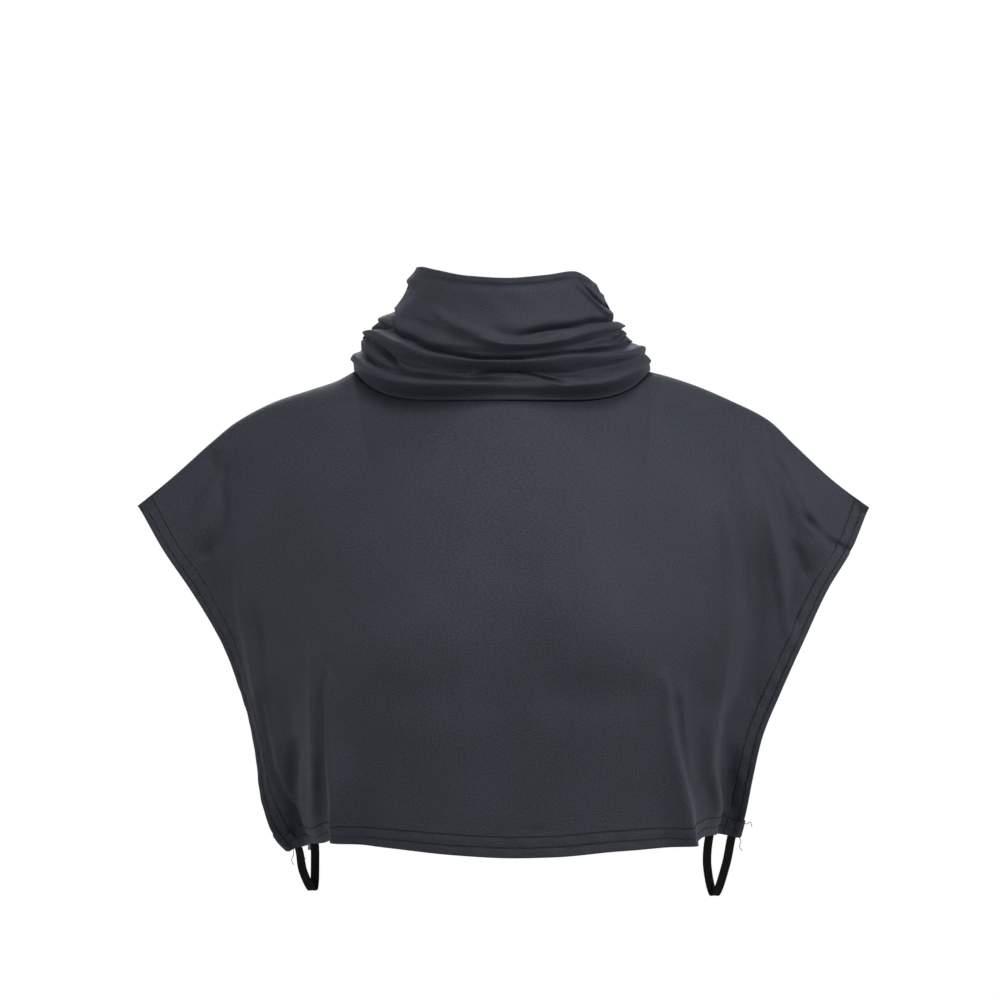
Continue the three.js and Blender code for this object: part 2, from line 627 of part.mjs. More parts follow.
const dickey = new THREE.Group();
dickey.add(piece('front_panel', front.geometry(), JERSEY));
dickey.add(piece('back_panel', back.geometry(), JERSEY));
dickey.add(piece('collar_front', collarHalf(-90, 90, 28, 19), JERSEY));
dickey.add(piece('collar_back', collarHalf(90, 270, 22, 15), JERSEY));
for (const loop of LOOPS) dickey.add(piece(loop.name, loopGeometry(loop, front, back), ELASTIC));

export default dickey;
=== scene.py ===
"""A detachable collar in dark slate-grey stretch jersey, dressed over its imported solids.

The dickey is two body panels that meet in shoulder seams, a doubled and ruched turtleneck collar, and a loop
of flat elastic under each arm. Sizes are real ones in millimetres until a mesh is made, which is in metres.
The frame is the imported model's: +X to the right as seen from the front, the front faces -Y, +Z is up, and the
origin is the middle of the neck base.
"""

from __future__ import annotations

import functools
import logging
import math
from dataclasses import dataclass, field
from enum import Enum
from typing import Any, NamedTuple, Sequence

import bpy
import numpy as np
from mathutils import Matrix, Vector

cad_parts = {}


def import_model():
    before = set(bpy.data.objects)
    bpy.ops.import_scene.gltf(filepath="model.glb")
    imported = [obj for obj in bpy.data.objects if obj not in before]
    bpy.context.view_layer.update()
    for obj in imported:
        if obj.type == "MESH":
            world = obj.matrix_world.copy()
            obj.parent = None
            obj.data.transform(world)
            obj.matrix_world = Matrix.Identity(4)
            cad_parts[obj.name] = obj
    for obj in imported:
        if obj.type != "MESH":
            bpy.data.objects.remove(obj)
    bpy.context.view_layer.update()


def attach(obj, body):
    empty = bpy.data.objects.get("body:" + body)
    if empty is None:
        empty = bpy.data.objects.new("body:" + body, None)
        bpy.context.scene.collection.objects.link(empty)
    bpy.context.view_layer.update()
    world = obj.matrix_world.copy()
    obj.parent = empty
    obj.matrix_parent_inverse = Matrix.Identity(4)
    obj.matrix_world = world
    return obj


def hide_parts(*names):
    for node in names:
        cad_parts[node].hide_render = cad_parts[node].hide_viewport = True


Array = np.ndarray
Piece = bpy.types.Object
Tree = bpy.types.NodeTree
Socket = bpy.types.NodeSocket

LOG = logging.getLogger("dickey")
MM = 0.001

# Seams: where front and back meet, and the gap between touching pieces
SEAM_Y = 6.5
GAP = 0.3
# The distance from a hem that stands for cloth without one
NO_HEM = 500.0
# How many points are measured against a line at once
BATCH = 4000
# Steps to either side and their weights, for evening out
EVEN_WEIGHTS = ((-1, 1), (-0.5, 2), (0, 3), (0.5, 2), (1, 1))


class Side(Enum):
    """A side of the body, as seen from the front."""

    LEFT = -1
    RIGHT = 1


class Facing(Enum):
    """Which way a body panel looks."""

    FRONT = -1
    BACK = 1


class Section(NamedTuple):
    """One level of a panel: its armhole edges, its depth at the middle and the bands, and the bands."""

    drop: float
    left: float
    right: float
    middle: float
    edge: float
    band_left: float
    band_right: float


class HemPoint(NamedTuple):
    """The hem's height at a place across the panel."""

    across: float
    z: float


class ShoulderPoint(NamedTuple):
    """The height of the two shoulder seams, from the neck (0) to the tip (1)."""

    out: float
    left: float
    right: float


class Fold(NamedTuple):
    """A fold from its top end (0) to its bottom end (1).

    bow is how far its middle lies to the right, w its width, h its height, positive for a ridge, and roll how
    far its crest is pushed to the right.
    """

    name: str
    x0: float
    z0: float
    x1: float
    z1: float
    bow: float
    w0: float
    w1: float
    h0: float
    h1: float
    roll: float = 0.0


class Crease(NamedTuple):
    """A finer crease or ridge of a panel along a line of (x, z) points in millimetres.

    height is positive for a ridge. left and right are its reach towards -X and +X of a line that runs down,
    and below and above one that runs to the right. A small reach makes that side sharp.
    """

    name: str
    line: tuple[tuple[float, float], ...]
    height: float
    left: float
    right: float


class Turn(NamedTuple):
    """How the cloth turns over the shoulders.

    crest is how far its run over the neck opening rises, and near and far are how far down it turns, at the
    middle and past width.
    """

    crest: float
    near: float
    far: float
    width: float


class Ring(NamedTuple):
    """One level of the collar, from its sewn base (rise 0) to its folded rim (rise 1)."""

    rise: float
    left: float
    right: float
    front: float
    back: float


class Wave(NamedTuple):
    """An uneven waviness: its height, its mean wavelength in millimetres and which draw it is."""

    height: float
    length: float
    seed: int

    def at(self, place: Array, other: Array) -> Array:
        """Its height at places in millimetres along two directions."""
        return self.height * ripple(place, other, self.length, self.seed)


class RimPoint(NamedTuple):
    """The rim's height at an angle: 0 is the front, 90 the right side."""

    angle: float
    z: float


class Ruche(NamedTuple):
    """A crease or ridge of the collar along a line of (angle, rise) points.

    height is positive for a ridge, and above and below are its reach on either side as shares of the rise.
    The cloth right below a crease stands proud by edge, and is pushed up over the crease by lip.
    """

    name: str
    line: tuple[tuple[float, float], ...]
    height: float
    above: float
    below: float
    edge: float = 0.0
    lip: float = 0.0


SHOULDER = (
    ShoulderPoint(0.0, 1.5, 1.5),
    ShoulderPoint(0.08, -5.5, -1.8),
    ShoulderPoint(0.2, -11.8, -8.2),
    ShoulderPoint(0.36, -20.0, -19.2),
    ShoulderPoint(0.54, -34.5, -33.6),
    ShoulderPoint(0.66, -49.5, -51.2),
    ShoulderPoint(0.83, -73.5, -76.3),
    ShoulderPoint(1.0, -96.5, -97.8),
)

FRONT_SECTIONS = (
    Section(0.0, -261.5, 266.5, -65, 4, 12, 12),
    Section(0.12, -243.5, 253.8, -83, -12, 12, 12.5),
    Section(0.25, -220.3, 234.0, -102, -22, 11.5, 13),
    Section(0.4, -198.0, 216.5, -119, -30, 9.5, 13),
    Section(0.55, -183.5, 200.0, -128, -35, 6, 13),
    Section(0.7, -174.5, 185.8, -129, -35, 4.5, 13),
    Section(0.82, -171.5, 180.0, -127, -30, 6, 12.5),
    Section(0.92, -165.5, 176.0, -125, -22, 11, 12),
    Section(1.0, -152.5, 171.0, -123, -14, 12.5, 12),
)
BACK_SECTIONS = (
    Section(0.0, -261.5, 266.5, 78, 9, 13, 13),
    Section(0.12, -238.0, 248.0, 89, 24, 13, 13),
    Section(0.25, -214.0, 229.0, 97, 36, 13, 13),
    Section(0.4, -192.0, 209.0, 100, 44, 13, 13),
    Section(0.55, -177.0, 192.0, 98, 49, 13, 13),
    Section(0.7, -166.0, 178.0, 94, 50, 13, 13),
    Section(0.85, -156.0, 168.0, 90, 47, 13, 13),
    Section(1.0, -140.0, 155.5, 87, 40, 13, 13),
)

FRONT_HEM = (
    HemPoint(-1.0, -345.5),
    HemPoint(-0.93, -339),
    HemPoint(-0.88, -336.8),
    HemPoint(-0.82, -334.6),
    HemPoint(-0.76, -330.6),
    HemPoint(-0.51, -332.4),
    HemPoint(-0.27, -335),
    HemPoint(0.0, -337),
    HemPoint(0.19, -336.3),
    HemPoint(0.43, -333.8),
    HemPoint(0.76, -333),
    HemPoint(0.82, -330),
    HemPoint(0.9, -331),
    HemPoint(1.0, -335),
)
BACK_HEM = (
    HemPoint(-1.0, -338),
    HemPoint(-0.5, -331),
    HemPoint(0.0, -330),
    HemPoint(0.5, -331),
    HemPoint(1.0, -335),
)

FRONT_FOLDS = (
    Fold("left edge ridge", -181, -165, -170, -245, 0, 8, 8, 2, 4),
    Fold("left side ridge", -130, -205, -128, -312, 0, 7, 6, 2, 6),
    Fold("left pleat", -113, -215, -113, -350, -1, 10, 6.5, 1, 12, -9),
    Fold("left side valley", -150, -250, -150, -352, 0, 8, 8, -4, -12),
    Fold("left shoulder valley", -200, -66, -211, -140, 7, 11, 12, -4, -4),
    Fold("right shoulder ridge", 197, -58, 226, -118, -3, 8, 9, 5, 5),
    Fold("right upper ridge", 184, -76, 199, -148, 0, 9, 9, 4, 4),
    Fold("right long ridge", 160, -100, 153, -240, 8, 11, 10, 4, 5),
    Fold("right side valley", 178, -150, 170, -240, 3, 10, 10, -4, -4),
    Fold("right pleat", 116, -232, 137, -350, -1, 13, 7, 2, 11, 8),
    Fold("right inner ridge", 145, -258, 156, -310, -2, 6, 6, 3, 4),
    Fold("right dark valley", 161, -255, 163, -348, 2, 8, 7, -6, -12),
)
BACK_FOLDS = (
    Fold("left flute", -118, -150, -104, -350, -4, 16, 13, 2, 7),
    Fold("left hollow", -92, -170, -78, -350, -3, 15, 12, -1, -5),
    Fold("right flute", 122, -140, 112, -350, 5, 16, 13, 2, 7),
    Fold("right hollow", 96, -165, 84, -350, 3, 15, 12, -1, -5),
    Fold("left shoulder valley", -192, -70, -200, -150, 5, 11, 12, -4, -4),
    Fold("right shoulder valley", 198, -70, 206, -150, -5, 11, 12, -4, -4),
)

FRONT_CREASES = (
    Crease("left shoulder break", ((-209, -50), (-203, -54), (-190, -56)), 1.8, 3, 4),
    Crease("left shoulder first valley", ((-205, -52), (-207, -71), (-217, -89),
                                          (-226, -104)), -2.8, 7, 3.5),
    Crease("left shoulder second valley", ((-196, -62), (-199, -82), (-196, -98), (-198, -113),
                                           (-206, -126), (-217, -134)), -4.0, 9, 3.5),
    Crease("left shoulder pocket", ((-203, -124), (-210, -130), (-218, -134)), -2.4, 4, 3),
    Crease("left armhole ridge", ((-187, -112), (-185, -138), (-183, -176), (-178, -205),
                                  (-173, -240)), 2.6, 3, 7),
    Crease("left inner ridge", ((-168, -158), (-162, -194), (-160, -225)), 1.5, 4, 4),
    Crease("left between valley", ((-173, -170), (-169, -200), (-164, -235), (-158, -262)), -1.6, 4, 4),
    Crease("left long ridge", ((-131, -186), (-131, -232), (-130, -270), (-131, -300)), 2.4, 2.5, 5),
    Crease("left crest valley", ((-125, -214), (-125, -250), (-125, -290), (-127, -330)), -1.0, 2.5, 2.5),
    Crease("left crest", ((-119, -205), (-120, -232), (-119, -274), (-118, -302),
                          (-121, -330)), 3.8, 1.8, 4.5),
    Crease("left dark valley", ((-142, -255), (-146, -285), (-148, -310), (-146, -338)), -5.0, 4, 4),
    Crease("left turned band", ((-171, -228), (-167, -250), (-161, -283), (-152, -304), (-146, -316),
                                (-141, -325), (-135, -336)), -4.0, 2.5, 2.2),
    Crease("right shoulder ridge", ((193, -52), (199, -60), (207, -73), (217, -92),
                                    (228, -113)), 3.8, 2.5, 8),
    Crease("right shoulder valley", ((188, -66), (197, -88), (206, -114), (210, -150),
                                     (209, -190)), -2.4, 5, 6),
    Crease("right armhole crease", ((214, -101), (222, -108), (236, -121), (250, -128),
                                    (268, -134)), -3.2, 2.5, 2.2),
    Crease("right short crease", ((207, -118), (213, -132), (220, -152)), -3.2, 2.2, 4),
    Crease("right second ridge", ((182, -72), (188, -84), (191, -106), (195, -134), (199, -158),
                                  (203, -180), (207, -198)), 2.4, 3, 5),
    Crease("right inner valley", ((174, -90), (178, -120), (180, -160), (182, -200),
                                  (178, -240)), -2.0, 6, 6),
    Crease("right soft ridge", ((156, -88), (161, -106), (165, -143), (159, -190), (154, -231), (151, -260),
                                (148, -278), (152, -292), (158, -306), (164, -320)), 3.2, 9, 3),
    Crease("right crest", ((113, -205), (116, -225), (118, -243), (121, -262), (126, -281), (130, -296),
                           (134, -314), (136, -334)), 3.4, 5.5, 2.0),
    Crease("right crest valley", ((121, -222), (124, -245), (127, -266), (131, -286),
                                  (136, -304)), -1.8, 2.5, 2.5),
    Crease("right crest second ridge", ((126, -216), (128, -243), (130, -262), (132, -281),
                                        (134, -296)), 1.8, 3, 3.5),
    Crease("right pocket", ((143, -284), (147, -298), (153, -310)), -1.8, 4, 3),
    Crease("right dark valley", ((163, -262), (165, -290), (168, -325)), -2.8, 4, 4),
    Crease("right faint ridge", ((138, -150), (139, -190), (140, -225)), 1.0, 6, 6),
    Crease("under the bust", ((22, -222), (60, -226), (101, -222)), -2.2, 15, 15),
    Crease("under the left bust", ((-95, -224), (-60, -228), (-25, -226)), -1.4, 15, 15),
    Crease("right hem dimple", ((14, -317), (25, -318.5), (37, -318)), -0.9, 3, 3),
    Crease("left hem dimple", ((-60, -313), (-53, -314), (-46, -313.5)), -0.8, 3, 3),
    Crease("centre bust drag", ((-45, -150), (0, -158), (48, -150)), 0.8, 14, 14),
)
BACK_CREASES = (
    Crease("left blade ridge", ((-196, -62), (-188, -110), (-170, -170), (-150, -230)), 2.2, 5, 6),
    Crease("left blade valley", ((-184, -72), (-176, -120), (-158, -180), (-140, -240)), -2.2, 5, 6),
    Crease("right blade ridge", ((200, -62), (194, -110), (178, -170), (160, -230)), 2.2, 6, 5),
    Crease("right blade valley", ((190, -74), (182, -120), (166, -180), (150, -240)), -2.2, 6, 5),
    Crease("left hem ridge", ((-60, -225), (-56, -270), (-54, -332)), 1.8, 7, 6),
    Crease("right hem ridge", ((52, -220), (50, -270), (52, -332)), 1.8, 6, 7),
)

RINGS = (
    Ring(0.0, -105.0, 108.0, -65.0, 78.0),
    Ring(0.1, -105.5, 107.0, -72.0, 82.5),
    Ring(0.24, -101.0, 102.0, -73.0, 82.0),
    Ring(0.34, -97.5, 96.5, -72.0, 79.0),
    Ring(0.45, -90.0, 90.5, -71.0, 75.0),
    Ring(0.6, -77.0, 83.5, -69.0, 69.0),
    Ring(0.75, -69.0, 78.5, -66.0, 63.0),
    Ring(0.9, -64.5, 73.5, -64.5, 57.0),
    Ring(1.0, -60.5, 70.0, -63.5, 54.0),
)
RIM = (
    RimPoint(-90, 74.0),
    RimPoint(-70, 73.0),
    RimPoint(-50, 69.5),
    RimPoint(-25, 64.5),
    RimPoint(0, 62.6),
    RimPoint(25, 65.0),
    RimPoint(48, 68.5),
    RimPoint(62, 65.5),
    RimPoint(74, 62.5),
    RimPoint(90, 61.5),
    RimPoint(135, 67.0),
    RimPoint(180, 69.5),
    RimPoint(225, 72.0),
    RimPoint(270, 74.0),
)

FRONT_RUCHES = (
    Ruche(
        "main crease",
        ((-92, 0.355), (-80, 0.40), (-66, 0.445), (-47, 0.435), (-33, 0.385), (-20, 0.35), (-6, 0.32),
         (8, 0.32), (18.5, 0.335), (32, 0.355), (47, 0.34), (73, 0.315), (92, 0.30)),
        -5.5, 0.045, 0.014, 1.8, 2.4,
    ),
    Ruche("main roll", ((-70, 0.40), (-47, 0.395), (-33, 0.345), (-20, 0.31), (-6, 0.282), (8, 0.282),
                        (18.5, 0.297), (32, 0.315), (47, 0.30), (73, 0.272), (92, 0.26)), 1.8, 0.028, 0.03),
    Ruche("hollow under the main roll", ((-62, 0.30), (-40, 0.285), (-15, 0.235), (8, 0.215), (40, 0.235),
                                         (60, 0.225)), -2.6, 0.04, 0.035),
    Ruche("left nose", ((-92, 0.375), (-80, 0.38), (-66, 0.40)), 2.6, 0.03, 0.03),
    Ruche("under the nose", ((-92, 0.325), (-82, 0.335), (-72, 0.35)), -3.0, 0.025, 0.02, 0.6, 0.6),
    Ruche("left wedge", ((-68, 0.365), (-60, 0.33), (-52, 0.275), (-44, 0.215)), -4.2, 0.016, 0.045, 0.6),
    Ruche("left wedge ridge", ((-82, 0.30), (-70, 0.27), (-60, 0.225)), 1.8, 0.03, 0.03),
    Ruche("left fan crease", ((-92, 0.585), (-80, 0.575), (-70, 0.52),
                              (-62, 0.455)), -3.8, 0.02, 0.022, 1.0, 1.0),
    Ruche("left fan ridge", ((-92, 0.52), (-80, 0.51), (-70, 0.475)), 1.8, 0.025, 0.025),
    Ruche("left rim fold", ((-92, 0.90), (-80, 0.875), (-70, 0.86)), 2.0, 0.05, 0.04),
    Ruche("under the left rim fold", ((-92, 0.83), (-80, 0.80), (-66, 0.74)), -1.6, 0.04, 0.03),
    Ruche("left slack ridge", ((-45, 0.72), (-26.7, 0.62), (-13.6, 0.555), (0, 0.487)), 2.0, 0.045, 0.04),
    Ruche("left slack hollow", ((-62, 0.60), (-45, 0.575), (-26, 0.52), (-10, 0.455)), -1.8, 0.04, 0.045),
    Ruche("middle slack hollow", ((-6, 0.56), (6, 0.52), (16, 0.515)), -1.5, 0.05, 0.03),
    Ruche("right slack ridge", ((-10, 0.50), (4, 0.46), (14, 0.455), (26, 0.48), (40, 0.51), (60, 0.535),
                                (92, 0.515)), 3.0, 0.022, 0.03),
    Ruche("right slack hollow", ((-30, 0.43), (0, 0.39), (26, 0.415), (50, 0.45),
                                 (70, 0.46)), -1.6, 0.035, 0.03),
    Ruche(
        "right upper crease",
        ((8, 0.525), (16, 0.54), (26, 0.558), (40, 0.562), (55, 0.582), (75, 0.585), (92, 0.575)),
        -5.0, 0.04, 0.013, 1.0, 1.9,
    ),
    Ruche("right lower hollow", ((30, 0.42), (50, 0.43), (70, 0.42)), -1.4, 0.03, 0.03),
    Ruche("right S ridge", ((44, 0.93), (56, 0.78), (66, 0.69), (80, 0.655)), 1.8, 0.025, 0.025),
    Ruche("right dimple", ((52, 0.93), (64, 0.82), (76, 0.765), (92, 0.76)), -2.8, 0.025, 0.035, 0.8),
    Ruche("right rim notch", ((70, 0.96), (80, 0.935), (92, 0.93)), -2.2, 0.025, 0.02, 0.8),
    Ruche("right pocket", ((72, 0.475), (82, 0.49), (92, 0.495)), -4.0, 0.02, 0.014, 0.6),
    Ruche("right gather high", ((62, 0.42), (74, 0.445), (92, 0.455)), -2.6, 0.014, 0.014),
    Ruche("right gather middle", ((64, 0.375), (76, 0.40), (92, 0.415)), -2.6, 0.014, 0.014),
    Ruche("right gather low", ((70, 0.345), (80, 0.36), (92, 0.37)), -2.2, 0.014, 0.012),
    Ruche("right band ridge", ((40, 0.275), (60, 0.27), (78, 0.24), (92, 0.225)), 1.4, 0.035, 0.035),
    Ruche("left roll crease", ((-92, 0.19), (-55, 0.175), (-41, 0.17), (-23, 0.155), (-10, 0.15),
                               (2, 0.155)), -3.4, 0.05, 0.015, 1.2, 1.2),
    Ruche("centre tuck", ((-13, 0.20), (0, 0.223), (10, 0.208), (18, 0.17),
                          (26, 0.125)), -3.6, 0.02, 0.014, 1.2, 1.0),
    Ruche("centre hollow", ((-22, 0.245), (-6, 0.25), (10, 0.24), (24, 0.21),
                            (38, 0.195)), -2.2, 0.03, 0.02, 0.4),
    Ruche("right roll crease", ((8, 0.155), (22, 0.165), (36, 0.17), (52, 0.185)), -2.0, 0.05, 0.03),
    Ruche("right base ridge", ((30, 0.12), (60, 0.14), (92, 0.13)), 1.8, 0.04, 0.05),
    Ruche("left base ridge", ((-92, 0.12), (-50, 0.115), (-20, 0.10), (4, 0.10)), 1.6, 0.035, 0.045),
    Ruche("under the rim", ((-70, 0.94), (-30, 0.945), (0, 0.945), (30, 0.945),
                            (66, 0.95)), -0.9, 0.025, 0.04),
)
BACK_RUCHES = (
    Ruche("back low crease", ((88, 0.19), (130, 0.17), (180, 0.15), (230, 0.16),
                              (272, 0.185)), -3.5, 0.05, 0.018, 1.2, 1),
    Ruche("back main crease", ((88, 0.305), (125, 0.4), (180, 0.36), (235, 0.41),
                               (272, 0.355)), -5.5, 0.05, 0.016, 1.6, 1.6),
    Ruche("back upper crease", ((88, 0.572), (130, 0.6), (165, 0.62)), -4.5, 0.045, 0.015, 0.8, 1.2),
    Ruche("back left crease", ((205, 0.66), (240, 0.62), (272, 0.58)), -3.2, 0.04, 0.02, 0.8, 0.6),
    Ruche("back slack ridge", ((120, 0.50), (160, 0.46), (200, 0.50), (240, 0.53)), 2.0, 0.05, 0.05),
    Ruche("back right pocket", ((88, 0.495), (98, 0.49), (112, 0.47)), -3.5, 0.02, 0.016, 0.6),
    Ruche("back right gather", ((88, 0.415), (104, 0.40), (118, 0.36)), -2.4, 0.016, 0.016),
    Ruche("back left gather", ((242, 0.50), (256, 0.49), (272, 0.46)), -2.4, 0.018, 0.016),
)


def mix(a: Any, b: Any, share: Any) -> Any:
    """The value at a share of the way from a to b."""
    return a + (b - a) * share


def clamp(value: Any) -> Any:
    """The value, kept between 0 and 1."""
    return np.clip(value, 0.0, 1.0)


def smooth(value: Any) -> Any:
    """A soft step from 0 to 1."""
    return clamp(value) ** 2 * (3 - 2 * clamp(value))


def point(x: float, y: float, z: float) -> Array:
    """A point or direction as an array."""
    return np.array([x, y, z], float)


def walked(line: Array) -> Array:
    """How far along a line each of its points is."""
    return np.concatenate([[0], np.cumsum(np.linalg.norm(np.diff(line, axis=0), axis=1))])


def sampled(places: Array, walk: Array, rows: Array) -> Array:
    """Points or directions at places along a line, between the rows that it has at each step of the walk."""
    return np.stack([np.interp(places, walk, rows[:, k]) for k in range(3)], -1)


def flat_cut(row: Array, column: Array) -> Array:
    """A sheet's places on its flat cut, from the points of one of its rows and one of its columns."""
    return np.stack(np.broadcast_arrays(walked(row)[None, :], walked(column)[:, None]), -1)


def bell(distance: Any, width: Any) -> Any:
    """A soft hump of height 1 and the given width."""
    return np.exp(-((distance / width) ** 2))


def from_line(x: Array, z: Array, line: Array) -> tuple[Array, Array, Array]:
    """Measures places against a line that runs down a panel.

    Args:
        x: the places' x.
        z: the places' z.
        line: the line's points, as x and z.

    Returns:
        How far each place is from the line, on which side, with -1 for left, and how far from its nearer end.
    """
    best = np.full(np.shape(x), np.inf)
    side, inside = np.zeros(np.shape(x)), np.zeros(np.shape(x))
    starts = walked(line)
    for k, length in enumerate(np.linalg.norm(np.diff(line, axis=0), axis=1)):
        dx, dz = (line[k + 1] - line[k]) / length
        along = np.clip((x - line[k, 0]) * dx + (z - line[k, 1]) * dz, 0, length)
        off_x, off_z = x - line[k, 0] - along * dx, z - line[k, 1] - along * dz
        away = np.hypot(off_x, off_z)
        nearer = away < best
        best = np.where(nearer, away, best)
        side = np.where(nearer, np.where(off_x * -dz + off_z * dx < 0, -1.0, 1.0), side)
        place = starts[k] + along
        inside = np.where(nearer, np.minimum(place, starts[-1] - place), inside)
    return best, side, inside


def nearest(points: Array, line: Array) -> Array:
    """How far each point is from a closely spaced line of points."""
    flat = points.reshape(-1, 3)
    batches = [flat[k : k + BATCH] for k in range(0, len(flat), BATCH)]
    away = [np.linalg.norm(batch[:, None] - line[None], axis=2).min(1) for batch in batches]
    return np.concatenate(away).reshape(points.shape[:-1])


def unit(vectors: Array) -> Array:
    """The vectors, each one unit long."""
    return vectors / np.maximum(np.linalg.norm(vectors, axis=-1, keepdims=True), 1e-9)


def ripple(place: Array, other: Array, wave: float, seed: int) -> Array:
    """An uneven ripple made of a few sines, the same each run.

    Args:
        place: where along the first direction, in millimetres.
        other: where along the second direction, in millimetres.
        wave: the mean wavelength in millimetres.
        seed: which ripple.

    Returns:
        Values from about -1 to 1.
    """
    draw = np.random.default_rng(seed)
    total = np.zeros(np.broadcast(place, other).shape)
    for _ in range(5):
        along, across = draw.uniform(0.7, 1.4, 2) * draw.choice((-1, 1), 2)
        total = total + np.sin(2 * math.pi * (along * place + across * other) / wave + draw.uniform(0, 6.28))
    return total / 3.0


class Track:
    """A smooth curve through a table's rows that never swings past them."""

    def __init__(self, places: Sequence[float], values: Sequence[float]) -> None:
        """Works out the curve's slopes from the rows' places and values."""
        self.places = np.asarray(places, float)
        self.values = np.asarray(values, float)
        self.steps = np.diff(self.places)
        slopes = np.diff(self.values) / self.steps
        before, after = slopes[:-1], slopes[1:]
        both = np.where(before * after > 0, before + after, 1.0)
        inner = np.where(before * after > 0, 2 * before * after / both, 0.0)
        self.tangents = np.concatenate([slopes[:1], inner, slopes[-1:]])

    @classmethod
    def of(cls, rows: Sequence[Any], key: str, column: str) -> Track:
        """The curve of one column of a table against another."""
        return cls([getattr(row, key) for row in rows], [getattr(row, column) for row in rows])

    def __call__(self, place: Any) -> Any:
        """The curve's value at a place, or at each of many places."""
        at = np.clip(place, self.places[0], self.places[-1])
        k = np.searchsorted(self.places[1:-1], at, side="left")
        t = (at - self.places[k]) / self.steps[k]
        a, b = self.values[k], self.values[k + 1]
        ta, tb = self.tangents[k] * self.steps[k], self.tangents[k + 1] * self.steps[k]
        return a + t * ta + t**2 * (3 * (b - a) - 2 * ta - tb) + t**3 * (2 * (a - b) + ta + tb)


@dataclass(frozen=True)
class Neck:
    """The neck seam, where the collar is sewn to the panels."""

    middle: float = 1.5
    half: float = 107.0
    side_z: float = 1.5
    front_drop: float = 23.5
    back_rise: float = 3.0
    back_dip: float = 4.0
    share: float = 0.43


NECK = Neck()


@dataclass(frozen=True)
class Cloth:
    """The jersey's sizes and those of its hems."""

    thick: float = 0.75
    fold_radius: float = 0.85
    hem: float = 16.0
    armhole_hem: float = 13.8
    armhole_band: float = 13.5
    hem_rows: tuple[float, float] = (7.0, 14.5)
    armhole_rows: tuple[float, float] = (4.6, 11.9)
    hem_step: float = 0.4
    furrow_deep: float = 0.3
    furrow_wide: float = 1.5


CLOTH = Cloth()
HEM_WAVE = Wave(0.32, 17.0, 13)
ARMHOLE_WAVE = Wave(0.4, 21.0, 14)
BODY_WAVE = Wave(0.3, 70.0, 15)
GATHER_WAVE = Wave(0.8, 9.0, 22)
COLLAR_WAVE = Wave(0.35, 34.0, 21)


